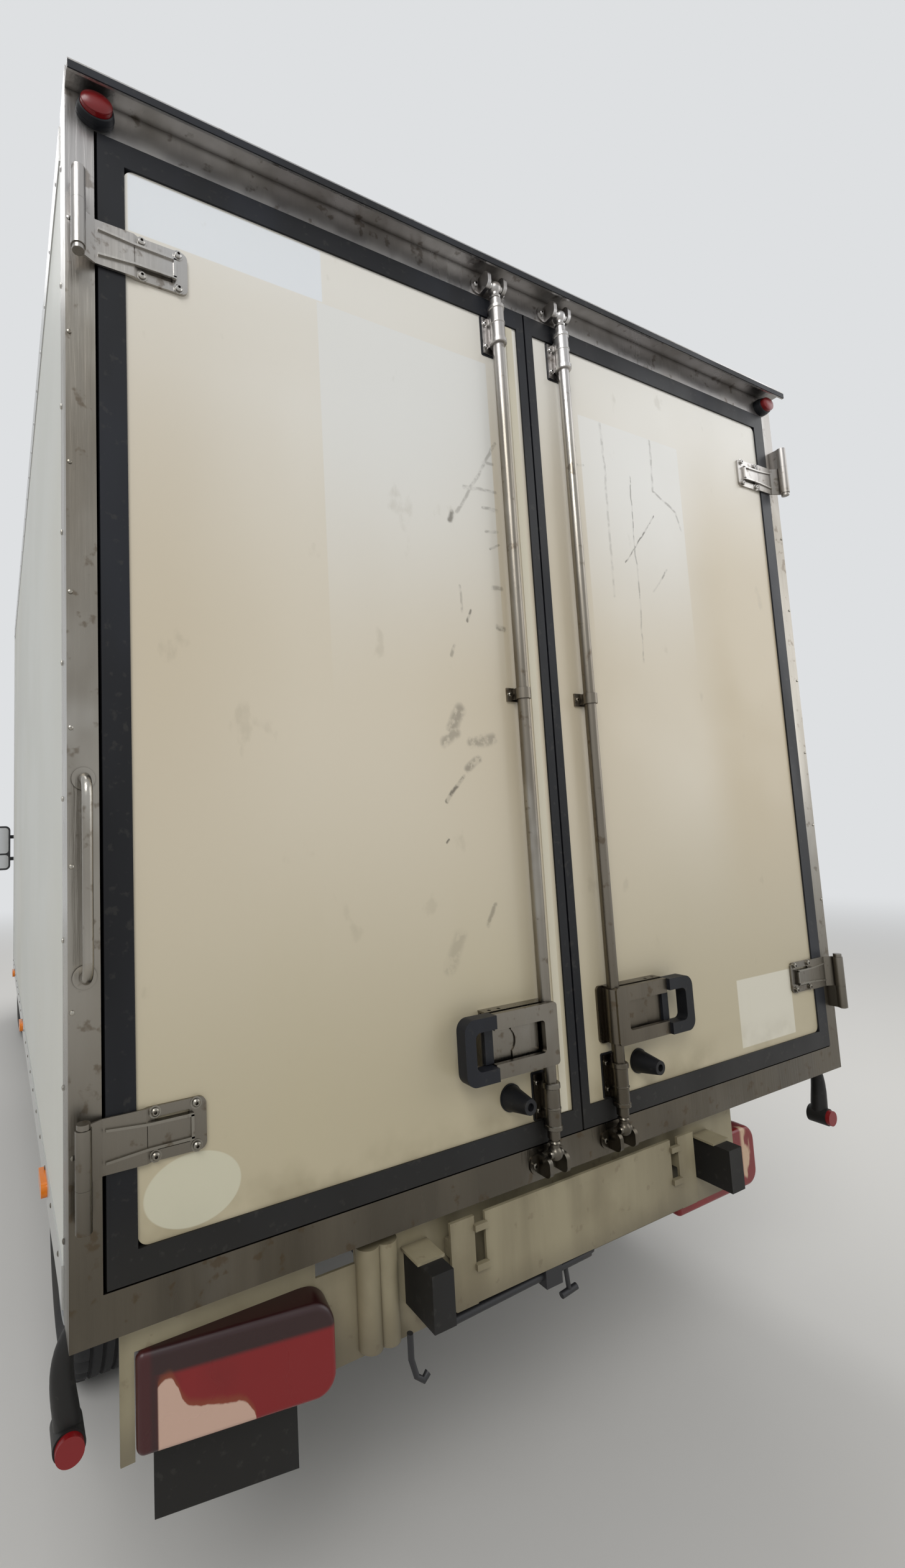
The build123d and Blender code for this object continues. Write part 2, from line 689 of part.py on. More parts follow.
# Rubber below and beside the rear doors: dock blocks, marker lamps' feet and arms, and the flap that
# hangs on the left tail lamp
with BuildPart() as rear_rubber:
    for side in (-1, 1):
        block(span(side * block_inner, side * block_outer), (box_rear_y - block_projection, apron_y),
              (box_base_z - block_bottom_drop, box_base_z - block_top_drop))
        rear_oval((side * marker_x, marker_z), marker_half, (0, marker_foot))
        arm_rings = []
        for drop, outboard, radius in arm_sections:
            with BuildSketch(Plane.XY.offset(box_base_z - drop)) as ring:
                with Locations((side * (arm_lamp_x + outboard), arm_lamp_y)):
                    Circle(radius)
            arm_rings.append(ring.sketch)
        loft(sections=arm_rings)
        barrel((side * arm_lamp_x, arm_lamp_y, arm_lamp_z), rearward, (-arm_head_half, arm_head_half),
               arm_head_radius)
    with BuildSketch(left_lamp_plane.offset(-lamp_depth)) as flap:
        with Locations(((flap_from_left + flap_to_left) / 2, -(flap_top_drop + flap_base_drop) / 2)):
            Rectangle(flap_to_left - flap_from_left, flap_base_drop - flap_top_drop)
    extrude(flap.sketch, amount=-flap_sheet)
keep(rear_rubber, "rear_rubber")

# Cooling unit on the front wall above the cab
unit_base_z = cab_roof_z + unit_lift
unit_top_z = roof_top_z - unit_drop
unit_front_y = box_front_y + unit_depth
unit_outline = (
    # y, z, corner radius
    (box_front_y, unit_base_z, 0), (unit_front_y - 60, unit_base_z, 40),
    (unit_front_y, unit_base_z + 120, 60), (unit_front_y - 70, unit_top_z, 60), (box_front_y, unit_top_z, 0),
)
with BuildPart() as cooling_unit:
    with BuildSketch(Plane.YZ.offset(-unit_half)):
        with BuildLine():
            FilletPolyline(*[(y, z) for y, z, _ in unit_outline], radius=[r for _, _, r in unit_outline],
                           close=True)
        make_face()
    extrude(amount=2 * unit_half)
    for louvre in range(louvre_count):
        louvre_z = unit_base_z + louvre_first + louvre * louvre_pitch
        block(about(0, unit_half - louvre_margin), (unit_front_y - louvre_depth, unit_front_y + cut_over),
              about(louvre_z, louvre_pitch / 4), mode=Mode.SUBTRACT)
keep(cooling_unit, "cooling_unit")

# Cab. Its outside is where a side view, a front view and a plan view all meet.
rear_ahead = cab_rear_y - front_axle_y
cab_side = (
    # ahead of the front axle, height, corner radius
    (rear_ahead, 400, 10), (rear_ahead, cab_roof_z - 15, 60), (-560, cab_roof_z, 150),
    (170, 1330, 60), (610, 1165, 160), (790, 980, 90), (840, 720, 60), (front_overhang, 430, 40),
    (810, 260, 40), (420, 260, 10), (400, 400, 10),
)
cab_front = (
    # distance from the middle, height, corner radius
    (cab_half - 60, 240, 20), (cab_half - 15, 400, 60), (cab_half, 900, 200), (cab_half - 10, 1340, 100),
    (cab_half - 142, 2150, 60), (cab_half - 280, cab_roof_z + 10, 60),
)
cab_plan = (
    # distance from the middle, ahead of the front axle, corner radius
    (cab_half, rear_ahead - 10, 0), (cab_half, 330, 300), (cab_half - 100, 700, 160),
    (cab_half - 440, front_overhang, 200),
)


def cab_view(points, plane, amount, inset, mode):
    """One view of the cab, set in by inset and drawn out across the cab."""
    with BuildSketch(plane) as view:
        with BuildLine():
            FilletPolyline(*[(a, b) for a, b, _ in points], radius=[r for _, _, r in points], close=True)
        make_face()
        if inset:
            offset(amount=-inset, mode=Mode.REPLACE)
    extrude(view.sketch, amount=amount, mode=mode)


def both_sides(points):
    """A half outline with its mirror image, in order round the whole."""
    return list(points) + [(-a, b, r) for a, b, r in reversed(points)]


def cab_solid(inset):
    """The cab's outer form, or that form set in by the thickness of a wall."""
    side_points = [(front_axle_y + a, z, r) for a, z, r in cab_side]
    plan_points = [(x, front_axle_y + a, r) for x, a, r in cab_plan]
    with BuildPart() as form:
        cab_view(side_points, Plane.YZ.offset(-cab_half - 50), 2 * cab_half + 100, inset, Mode.ADD)
        cab_view(both_sides(cab_front), Plane.XZ.offset(-front_y - 100), cab_length + 200, inset,
                 Mode.INTERSECT)
        cab_view(both_sides(plan_points), Plane.XY, cab_roof_z + 100, inset, Mode.INTERSECT)
    return form.part


cab_outer = cab_solid(0)
cab_inner = cab_solid(cab_wall)
cab_skin = cab_solid(cab_panel)
cab_shell = cab_outer - cab_skin

firewall_ahead = 130
scuttle_ahead = 180
door_front_ahead = -140
door_hinge_y = front_axle_y + door_front_ahead - shut_gap / 2
bonnet_hinge_y = front_axle_y + scuttle_ahead + bonnet_gap / 2
full_width = (-cab_half - 100, cab_half + 100)
left_span = (-cab_half - 50, 330 - cab_half)
door_line = (
    # ahead of the front axle, height
    (-430, 490), (-430, 700), (door_front_ahead, 1010), (door_front_ahead, 1560), (-520, 2040), (-600, 2080),
    (-1270, 2080), (-1330, 2020), (-1330, 490),
)
window_line = (
    # ahead of the front axle, height
    (-205, 1375), (-205, 1545), (-545, 1985), (-1210, 1985), (-1260, 1935), (-1260, 1375),
)
door_hole_left = side_prism(door_line, left_span)
behind_rear_wall = rear_ahead - 10
above_roof = cab_roof_z + 50
cabin_zone = side_prism(((behind_rear_wall, cab_floor_z), (behind_rear_wall, above_roof),
                         (firewall_ahead, above_roof), (firewall_ahead, cab_floor_z)), full_width)
behind_scuttle = side_prism(((behind_rear_wall, 300), (behind_rear_wall, above_roof),
                             (scuttle_ahead, above_roof), (scuttle_ahead, 300)), full_width)

arch_inner = 560
with BuildPart() as arch_tool:
    with BuildSketch(Plane.YZ.offset(-cab_half - 100)):
        with Locations((front_axle_y, tyre_radius)):
            Circle(arch_radius)
        with Locations((front_axle_y, tyre_radius - 300)):
            Rectangle(2 * arch_radius, 600)
    extrude(amount=cab_half + 100 - arch_inner)
arch_left = arch_tool.part
arch_right = mirror(arch_left, about=Plane.YZ)

# Windscreen: a tapered outline on the slope of the glass
glass_base = (170, 1330)          # ahead of the front axle, height
glass_top = (-560, cab_roof_z)
glass_rise = glass_top[1] - glass_base[1]
glass_run = glass_base[0] - glass_top[0]
glass_length = (glass_rise ** 2 + glass_run ** 2) ** 0.5
glass_plane = Plane(origin=(0, front_axle_y + glass_base[0], glass_base[1]), x_dir=(-1, 0, 0),
                    z_dir=(0, glass_rise, glass_run))
glass_low = 75
glass_high = glass_length - 150
glass_half_low = cab_half - 130
glass_half_high = cab_half - 280
glass_corner = 70
glass_sheet = 6


def screen(low, high):
    """The windscreen's outline as a solid between two distances from the slope of the glass."""
    with BuildPart() as pane:
        with BuildSketch(glass_plane.offset(low)):
            with BuildLine():
                FilletPolyline((-glass_half_low, glass_low), (glass_half_low, glass_low),
                               (glass_half_high, glass_high), (-glass_half_high, glass_high),
                               radius=glass_corner, close=True)
            make_face()
        extrude(amount=high - low)
    return pane.part


knuckle_low = small_barrel_length / 2 + running_gap
knuckle_high = knuckle_low + small_knuckle_length
hinge_arm = 24        # how far a small hinge's leaf reaches from its pin
small_relief = small_barrel_radius + 2
with BuildPart() as cab_body:
    add(cab_outer & behind_scuttle)
    add(cab_inner & cabin_zone, mode=Mode.SUBTRACT)
    block(about(0, cab_half - 120), (cab_rear_y - 10, front_axle_y + scuttle_ahead + 10),
          (300, cab_floor_z - cab_floor_sheet), mode=Mode.SUBTRACT)
    add([door_hole_left, mirror(door_hole_left, about=Plane.YZ)], mode=Mode.SUBTRACT)
    add([arch_left, arch_right], mode=Mode.SUBTRACT)
    add(screen(-120, 80), mode=Mode.SUBTRACT)
    for side in (-1, 1):
        block(span(side * (cab_half - 160), side * (cab_half + 60)),
              (front_axle_y - 438, front_axle_y + scuttle_ahead + 10), (240, wing_top_z), mode=Mode.SUBTRACT)
        for level in door_hinge_levels:
            place = (side * door_hinge_x, door_hinge_y)
            upright(place, about(level, knuckle_low), small_relief, mode=Mode.SUBTRACT)
            for low_z in (level - knuckle_high, level + knuckle_low):
                upright(place, (low_z, low_z + small_knuckle_length), small_barrel_radius)
                block(span(side * (door_hinge_x - 11), side * (door_hinge_x - 2)),
                      (door_hinge_y, door_hinge_y + hinge_arm), (low_z, low_z + small_knuckle_length))
            upright(place, about(level, knuckle_high - 2), small_pin_radius)
        place = (side * bonnet_hinge_x, bonnet_hinge_y, bonnet_hinge_z)
        barrel(place, across, about(0, knuckle_low), small_relief, mode=Mode.SUBTRACT)
        for low_x in (-knuckle_high, knuckle_low):
            barrel(place, across, (low_x, low_x + small_knuckle_length), small_barrel_radius)
            block((place[0] + low_x, place[0] + low_x + small_knuckle_length),
                  (bonnet_hinge_y - hinge_arm, bonnet_hinge_y), (bonnet_hinge_z - 11, bonnet_hinge_z - 3))
        barrel(place, across, about(0, knuckle_high - 2), small_pin_radius)
keep(cab_body, "cab_body")

glass_set_in = 14
with BuildPart() as windscreen:
    add(screen(-glass_set_in, glass_sheet - glass_set_in))
keep(windscreen, "windscreen")

# Cab doors, cut from the same form as the body round them
left_door_zone = side_prism(door_line, left_span, inset=shut_gap)
left_casing_zone = side_prism(door_line, left_span, inset=shut_gap + shut_step)
left_window = side_prism(window_line, left_span)
with BuildPart() as cab_door:
    add((cab_outer & left_door_zone) - cab_inner)
    add((cab_skin & left_door_zone) - left_casing_zone, mode=Mode.SUBTRACT)
    add(left_window, mode=Mode.SUBTRACT)
    for level in door_hinge_levels:
        place = (-door_hinge_x, door_hinge_y)
        for low_z in (level - knuckle_high - running_gap, level + small_barrel_length / 2):
            upright(place, (low_z, low_z + small_knuckle_length + 2 * running_gap), small_relief,
                    mode=Mode.SUBTRACT)
        upright(place, about(level, small_barrel_length / 2), small_barrel_radius)
        block((2 - door_hinge_x, 11 - door_hinge_x), (door_hinge_y - hinge_arm, door_hinge_y),
              about(level, small_barrel_length / 2))
        upright(place, about(level, small_barrel_length / 2 + cut_over), small_pin_radius + running_gap,
                mode=Mode.SUBTRACT)
keep_pair(cab_door, "cab_door")

with BuildPart() as cab_glass:
    add((cab_solid(cab_panel - glass_sheet) & left_window) - cab_skin)
keep_pair(cab_glass, "cab_glass")

mirror_x = cab_half + 125
mirror_z = 1470
mirror_width = 150
mirror_height = 330
mirror_depth = 90
mirror_ahead = -330
with BuildPart() as door_mirror:
    with BuildSketch(Plane.XZ.offset(-front_axle_y - mirror_ahead)):
        with Locations((-mirror_x, mirror_z)):
            RectangleRounded(mirror_width, mirror_height, 35)
    extrude(amount=mirror_depth)
    front_lip = door_mirror.faces().sort_by(Axis.Y)[-1].edges()
    chamfer(front_lip, length=26)
    for arm_z, inner_x in ((mirror_z - 95, cab_half - 16), (mirror_z + 70, cab_half - 38)):
        block((-mirror_x + 65, -inner_x), (front_axle_y - 390, front_axle_y - 360), (arm_z, arm_z + 26))
keep_pair(door_mirror, "door_mirror")

# Front wings, bonnet, bumper, grille and headlamps
lamp_base = 713
lamp_high = 935
bonnet_seam = (
    # ahead of the front axle, height of the wing's upper edge
    (scuttle_ahead + bonnet_gap, 1175), (430, 1088), (640, lamp_high + 6),
)
wing_line = (
    (-422, 430), (-422, 696), (-132, 1006), (-132, wing_top_z), (scuttle_ahead + bonnet_gap - 1, wing_top_z),
    *bonnet_seam, (520, lamp_high), (520, lamp_base), (440, 700), (440, 430),
)
with BuildPart() as front_wings:
    add(cab_shell & side_prism(wing_line, (-cab_half - 50, 300 - cab_half)))
    add(arch_left, mode=Mode.SUBTRACT)
    mirror(about=Plane.YZ)
keep(front_wings, "front_wings")

bonnet_line = (
    *[(ahead, z + bonnet_gap) for ahead, z in bonnet_seam], (front_overhang + 50, lamp_high + 6 + bonnet_gap),
    (front_overhang + 50, 1500), (scuttle_ahead + bonnet_gap, 1500),
)
with BuildPart() as bonnet:
    add(cab_shell & side_prism(bonnet_line, full_width))
    for side in (-1, 1):
        place = (side * bonnet_hinge_x, bonnet_hinge_y, bonnet_hinge_z)
        for low_x in (-knuckle_high - running_gap, small_barrel_length / 2):
            barrel(place, across, (low_x, low_x + small_knuckle_length + 2 * running_gap), small_relief,
                   mode=Mode.SUBTRACT)
        barrel(place, across, about(0, small_barrel_length / 2), small_barrel_radius)
        block(about(place[0], small_barrel_length / 2), (bonnet_hinge_y, bonnet_hinge_y + hinge_arm),
              (bonnet_hinge_z - 13, bonnet_hinge_z - 4))
        barrel(place, across, about(0, small_barrel_length / 2 + cut_over), small_pin_radius + running_gap,
               mode=Mode.SUBTRACT)
keep(bonnet, "bonnet")

front_end = front_overhang + 50
bumper_line = ((440, 240), (440, 690), (520, lamp_base), (front_end, lamp_base), (front_end, 240))
intake_z = (420, 560)
with BuildPart() as front_bumper:
    add((cab_outer - cab_inner) & side_prism(bumper_line, full_width))
    add([arch_left, arch_right], mode=Mode.SUBTRACT)
    block(about(0, rail_inner), (front_y - 300, front_y + 20), intake_z, mode=Mode.SUBTRACT)
    block(about(0, cab_half - 300), (front_axle_y + 400, rail_nose_y), (240, lamp_base - 8),
          mode=Mode.SUBTRACT)
keep(front_bumper, "front_bumper")

grille_half = 430
grille_slots = 5
slot_pitch = 40
slot_height = 24
grille_line = ((500, lamp_base), (500, lamp_high), (front_end, lamp_high), (front_end, lamp_base))
with BuildPart() as grille:
    add(cab_shell & side_prism(grille_line, (-grille_half, grille_half)))
    for slot in range(grille_slots):
        slot_z = lamp_base + 20 + slot * slot_pitch
        block(about(0, grille_half - 25), (front_y - 300, front_y + 20), (slot_z, slot_z + slot_height),
              mode=Mode.SUBTRACT)
keep(grille, "grille")

headlamp_line = ((526, lamp_base), (526, lamp_high), (front_end, lamp_high), (front_end, lamp_base))
headlamp_depth = 90
with BuildPart() as headlamps:
    add((cab_outer - cab_solid(headlamp_depth)) & side_prism(headlamp_line, (grille_half + 6, cab_half + 50)))
    mirror(about=Plane.YZ)
keep(headlamps, "headlamps")

# Dashboard with the steering column's cowl, steering wheel and seats
wheel_x = 570 - cab_half
column_top = (wheel_x, front_axle_y - 400, 1230)
column_direction = (0, -1, 1)
column_radius = 24
column_length = 270
cowl_length = 90
cowl_sheet = 22
dashboard_half = cab_half - 110
dashboard_outline = (
    # ahead of the front axle, height, corner radius
    (firewall_ahead, 900, 0), (firewall_ahead, 1250, 0), (-60, 1260, 40), (-210, 1190, 60), (-190, 1000, 60),
    (-60, 900, 40),
)
cowl_start = cowl_length - column_length
with BuildPart() as dashboard:
    with BuildSketch(Plane.YZ.offset(-dashboard_half)):
        with BuildLine():
            FilletPolyline(*[(front_axle_y + a, z) for a, z, _ in dashboard_outline],
                           radius=[r for _, _, r in dashboard_outline], close=True)
        make_face()
    extrude(amount=2 * dashboard_half)
    barrel(column_top, column_direction, (cowl_start - cowl_length - 120, cowl_start),
           column_radius + cowl_sheet)
    barrel(column_top, column_direction, (-column_length, cowl_start + cut_over), column_radius + running_gap,
           mode=Mode.SUBTRACT)
keep(dashboard, "dashboard")

wheel_radius = 190
wheel_rim_radius = 14
wheel_boss_radius = 45
spoke_width = 34
with BuildPart() as steering_wheel:
    with BuildSketch(Plane(origin=column_top, x_dir=across, z_dir=(0, 1, 1))) as rim_section:
        with Locations((wheel_radius, 0)):
            RegularPolygon(wheel_rim_radius, 8)
    revolve(rim_section.sketch, axis=Axis(column_top, column_direction))
    with BuildSketch(Plane(origin=column_top, x_dir=across, z_dir=column_direction).offset(-10)) as spokes:
        Circle(wheel_boss_radius)
        with PolarLocations(wheel_radius / 2, 3, start_angle=-90):
            Rectangle(wheel_radius, spoke_width)
    extrude(spokes.sketch, amount=20)
    barrel(column_top, column_direction, (-column_length, 0), column_radius)
keep(steering_wheel, "steering_wheel")

seat_places = (
    # middle, width
    (540 - cab_half, 500), (cab_half / 2 - 150, cab_half - 100),
)
seat_side = (
    # ahead of the front axle, height, corner radius
    (-620, cab_floor_z, 20), (-620, 940, 60), (-720, 960, 40), (-1110, 930, 40), (-1210, 1560, 50),
    (-1310, 1560, 50), (-1220, 880, 40), (-1150, cab_floor_z, 20),
)
with BuildPart() as seats:
    for seat_x, seat_width in seat_places:
        with BuildSketch(Plane.YZ.offset(seat_x - seat_width / 2)) as seat:
            with BuildLine():
                FilletPolyline(*[(front_axle_y + a, z) for a, z, _ in seat_side],
                               radius=[r for _, _, r in seat_side], close=True)
            make_face()
        extrude(seat.sketch, amount=seat_width)
keep(seats, "seats")

# Engine, as one plain block
engine_half = 330
engine_ahead = (195, 560)
engine_top_z = 980
with BuildPart() as engine_block:
    block((-engine_half, engine_half), (front_axle_y + engine_ahead[0], front_axle_y + engine_ahead[1]),
          (low_rail_top - 25, engine_top_z))
keep(engine_block, "engine_block")

# Front suspension: cross beam, lower arms and struts whose forks hold the knuckles
beam_half = 60
arm_half = 30
arm_z = (226, 250)
fork_z = (462, 486)
strut_x = 700
strut_radius = 26
strut_top_z = 660
with BuildPart() as front_suspension:
    block(about(0, rail_outer + 20), about(front_axle_y, beam_half), (arm_z[1], low_rail_base))
    for side in (-1, 1):
        place = (side * kingpin_x, front_axle_y)
        block(span(side * (rail_outer + 10), side * (kingpin_x + 22)), about(front_axle_y, arm_half), arm_z)
        upright(place, (arm_z[0], upright_z[0]), kingpin_radius)
        block(span(side * strut_x, side * (kingpin_x + 22)), about(front_axle_y, arm_half - 5), fork_z)
        upright(place, (upright_z[1], fork_z[1]), kingpin_radius)
        upright((side * strut_x, front_axle_y), (arm_z[1] - 10, strut_top_z), strut_radius)
        with BuildSketch(Plane.XY.offset(strut_top_z - 20)) as strut_cap:
            with Locations((side * (strut_x - 100), front_axle_y)):
                SlotCenterToCenter(140, 90)
        extrude(strut_cap.sketch, amount=30)
keep(front_suspension, "front_suspension")

# Knuckle: an upright between the two balls, the hub spindle and the steering arm
spindle_end = 40      # how far a spindle runs beyond the wheel's mounting face
arm_thickness = 18
ball_pin_radius = 9
with BuildPart() as knuckle:
    block((-kingpin_x - 24, 20 - kingpin_x), about(front_axle_y, arm_half),
          (upright_z[0] + running_gap, upright_z[1] - running_gap))
    hub_centre = (0, front_axle_y, tyre_radius)
    barrel(hub_centre, across, (-wheel_face_x - spindle_end, -kingpin_x), hub_radius)
    barrel(hub_centre, across, (running_gap - wheel_face_x, running_gap - wheel_face_x + hub_flange),
           hub_flange_radius)
    block(about(-kingpin_x, kingpin_radius), (front_axle_y - steer_arm - 16, front_axle_y - 20),
          (steer_z - 14, steer_z - 14 + arm_thickness))
    upright((-kingpin_x, front_axle_y - steer_arm), (steer_z - 14, steer_z + 26), ball_pin_radius)
keep_pair(knuckle, "knuckle")

rod_eye_radius = 17
rod_width = 20
open_end_gap = 1.5    # play in the rod's right-hand eye
with BuildPart() as tie_rod:
    with BuildSketch(Plane.XY.offset(steer_z - 14 + arm_thickness + running_gap)) as rod_plan:
        for side in (-1, 1):
            with Locations((side * kingpin_x, front_axle_y - steer_arm)):
                Circle(rod_eye_radius)
        with Locations((0, front_axle_y - steer_arm)):
            Rectangle(2 * kingpin_x, rod_width)
        for side, play in ((-1, running_gap), (1, open_end_gap)):
            with Locations((side * kingpin_x, front_axle_y - steer_arm)):
                Circle(ball_pin_radius + play, mode=Mode.SUBTRACT)
    extrude(rod_plan.sketch, amount=rod_width)
keep(tie_rod, "tie_rod")

# Wheels
wheel_places = (
    # name, side, along
    ("front_left", -1, front_axle_y), ("front_right", 1, front_axle_y),
    ("rear_left", -1, rear_axle_y), ("rear_right", 1, rear_axle_y),
)
tyre_outline = (
    # outboard of the wheel's middle, radius
    (-82, rim_radius), (-108, 262), (-99, 322), (-74, tyre_radius), (74, tyre_radius), (99, 322), (108, 262),
    (82, rim_radius),
)
seat_radius = rim_radius - running_gap
bore_radius = hub_radius + running_gap
rim_outline = (
    # outboard of the wheel's middle, radius
    (-95, 214), (-95, 196), (36, 196), (50, 180), (50, 124), (wheel_face, 104), (wheel_face, bore_radius),
    (wheel_face + 9, bore_radius), (wheel_face + 9, 104), (60, 124), (60, 180), (50, 196), (95, 196),
    (95, 214), (88, 214), (88, seat_radius), (-88, seat_radius), (-88, 214),
)
vent_count = 10
vent_radius = 16
vent_ring = 152
vent_depth = 90


def wheel_ring(outline, side, along):
    """A ring turned about a wheel's axle."""
    centre = (side * track_half, along, tyre_radius)
    with BuildSketch(Plane(origin=centre, x_dir=(side, 0, 0), z_dir=(0, -side, 0))) as section:
        with BuildLine():
            Polyline(*outline, close=True)
        make_face()
    revolve(section.sketch, axis=Axis(centre, across))


for place, side, along in wheel_places:
    with BuildPart() as tyre:
        wheel_ring(tyre_outline, side, along)
    keep(tyre, f"tyre_{place}")
    wheel_plane = Plane(origin=(side * track_half, along, tyre_radius), x_dir=(0, 1, 0), z_dir=(side, 0, 0))
    with BuildPart() as rim:
        wheel_ring(rim_outline, side, along)
        with BuildSketch(wheel_plane) as vents:
            with PolarLocations(vent_ring, vent_count):
                Circle(vent_radius)
        extrude(vents.sketch, amount=vent_depth, mode=Mode.SUBTRACT)
    keep(rim, f"rim_{place}")

# Rear axle with its leaf springs and spindles
axle_tube_radius = 45
spring_y = about(rear_axle_y, 600)
spring_end_z = (500, 512)
spring_sag = (tyre_radius + 40, tyre_radius + 76)
spring_width = 60
shackle_width = 70
shackle_half = 25
shackle_top_z = 600
with BuildPart() as rear_axle:
    axle_centre = (0, rear_axle_y, tyre_radius)
    barrel(axle_centre, across, (70 - track_half, track_half - 70), axle_tube_radius)
    for side in (-1, 1):
        barrel(axle_centre, across, span(side * (track_half - 75), side * (wheel_face_x + spindle_end)),
               hub_radius)
        face = side * (wheel_face_x - running_gap)
        barrel(axle_centre, across, span(face - side * hub_flange, face), hub_flange_radius)
        with BuildSketch(Plane.YZ.offset(side * (rail_outer + 5))) as spring:
            with BuildLine():
                ThreePointArc((spring_y[0], spring_end_z[0]), (rear_axle_y, spring_sag[0]),
                              (spring_y[1], spring_end_z[0]))
                Line((spring_y[1], spring_end_z[0]), (spring_y[1], spring_end_z[1]))
                ThreePointArc((spring_y[1], spring_end_z[1]), (rear_axle_y, spring_sag[1]),
                              (spring_y[0], spring_end_z[1]))
                Line((spring_y[0], spring_end_z[1]), (spring_y[0], spring_end_z[0]))
            make_face()
        extrude(spring.sketch, amount=side * spring_width)
        for end_y in (spring_y[0] + 10, spring_y[1] - 10):
            block(span(side * rail_outer, side * (rail_outer + shackle_width)), about(end_y, shackle_half),
                  (spring_end_z[0] - 10, shackle_top_z))
keep(rear_axle, "rear_axle")

# Rear mudguards and fuel tank
guard_radius = tyre_radius + 55
guard_sheet = 6
guard_x = (track_half - 145, track_half + 115)
with BuildPart() as mudguards:
    with BuildSketch(Plane.YZ.offset(guard_x[0])):
        with Locations((rear_axle_y, tyre_radius)):
            Circle(guard_radius)
            Circle(guard_radius - guard_sheet, mode=Mode.SUBTRACT)
        with Locations((rear_axle_y, tyre_radius - 250)):
            Rectangle(1000, 500, mode=Mode.SUBTRACT)
    extrude(amount=guard_x[1] - guard_x[0])
    for stay_y in (rear_axle_y - 270, rear_axle_y + 270):
        block((rail_outer, guard_x[0] + 5), about(stay_y, 10), (tyre_radius + 277, tyre_radius + 297))
    mirror(about=Plane.YZ)
keep(mudguards, "mudguards")

tank_y = (rear_axle_y + 900, rear_axle_y + 1700)
tank_width = 330
tank_z = (rail_top - 320, rail_top - 10)
tank_corner = 50
with BuildPart() as fuel_tank:
    block((-rail_outer - tank_width, -rail_outer), tank_y, tank_z)
    fillet(fuel_tank.edges().filter_by(Axis.Y), radius=tank_corner)
keep(fuel_tank, "fuel_tank")
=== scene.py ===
"""Dresses the refrigerated truck's frame for its picture. Metres: +X right, +Y front, +Z up."""

import json
import math

import bmesh
import bpy
from mathutils import Matrix, Vector


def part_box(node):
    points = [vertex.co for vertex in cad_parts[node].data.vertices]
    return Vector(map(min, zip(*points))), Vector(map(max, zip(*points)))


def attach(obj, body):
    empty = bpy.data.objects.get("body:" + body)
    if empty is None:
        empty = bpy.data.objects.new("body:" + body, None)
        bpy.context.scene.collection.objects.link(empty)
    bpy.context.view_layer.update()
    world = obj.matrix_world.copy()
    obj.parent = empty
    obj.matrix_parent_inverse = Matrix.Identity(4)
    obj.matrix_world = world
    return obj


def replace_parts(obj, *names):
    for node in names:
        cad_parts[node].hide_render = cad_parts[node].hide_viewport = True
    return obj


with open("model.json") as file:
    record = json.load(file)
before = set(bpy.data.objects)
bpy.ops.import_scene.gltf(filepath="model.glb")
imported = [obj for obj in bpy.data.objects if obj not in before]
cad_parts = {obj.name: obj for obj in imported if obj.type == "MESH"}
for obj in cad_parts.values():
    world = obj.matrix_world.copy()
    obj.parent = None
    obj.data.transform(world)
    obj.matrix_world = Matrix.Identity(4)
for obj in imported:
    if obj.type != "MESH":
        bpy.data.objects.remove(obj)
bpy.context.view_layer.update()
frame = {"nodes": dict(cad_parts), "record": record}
nodes = frame["nodes"]
scene = bpy.context.scene
link = scene.collection.objects.link

# Photograph: its frame and the camera fitted to the rear frame's corners
IMAGE_WIDTH = 1456
IMAGE_HEIGHT = 2522
FOCAL_PIXELS = 1034.6
PRINCIPAL = (510, 1241)
CAMERA_PLACE = (-1.149, -3.856, 1.499)
CAMERA_YAW = math.radians(26.63)
CAMERA_PITCH = math.radians(5.34)
CAMERA_ROLL = math.radians(-2.29)
SENSOR = 36.0

# Places that the nodes' boxes give
FRAME_LOW, FRAME_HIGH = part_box("rear_frame")
SKIN_LOW, SKIN_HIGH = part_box("rear_door_left")
FRONT_TYRE_LOW, FRONT_TYRE_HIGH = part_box("tyre_front_left")
REAR_TYRE_LOW, REAR_TYRE_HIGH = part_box("tyre_rear_left")
REAR_Y = SKIN_LOW.y
BASE_Z = FRAME_LOW.z
BOX_HALF = FRAME_HIGH.x
ROOF_Z = FRAME_HIGH.z
BOX_FRONT_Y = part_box("box_roof")[1].y
FRONT_AXLE_Y = (FRONT_TYRE_LOW.y + FRONT_TYRE_HIGH.y) / 2
REAR_AXLE_Y = (REAR_TYRE_LOW.y + REAR_TYRE_HIGH.y) / 2
TYRE_RADIUS = (FRONT_TYRE_HIGH.z - FRONT_TYRE_LOW.z) / 2

# Places inside the nodes' boxes
DRIP_TOP = BASE_Z + 2.05
TRACK_HALF = 0.875
ROD_X = 0.105
ROD_Y = REAR_Y - 0.022
PIN_X = 1.032
PIN_Y = REAR_Y - 0.03
HINGE_LEVELS = (1.039, 2.525)
SIDES = (("left", -1), ("right", 1))

UP = Vector((0, 0, 1))
REARWARD = Vector((0, -1, 0))
ACROSS = Vector((1, 0, 0))


def linear(value):
    """An sRGB channel as a linear one."""
    return value / 12.92 if value <= 0.04045 else ((value + 0.055) / 1.055) ** 2.4


def colour(red, green, blue):
    """A colour read as 0 to 255 on screen, made linear."""
    return tuple(linear(channel / 255) for channel in (red, green, blue)) + (1.0,)


def feed(tree, socket, value):
    """Sets a socket, or joins it to another node's output."""
    if isinstance(value, bpy.types.NodeSocket):
        tree.links.new(value, socket)
    else:
        socket.default_value = value


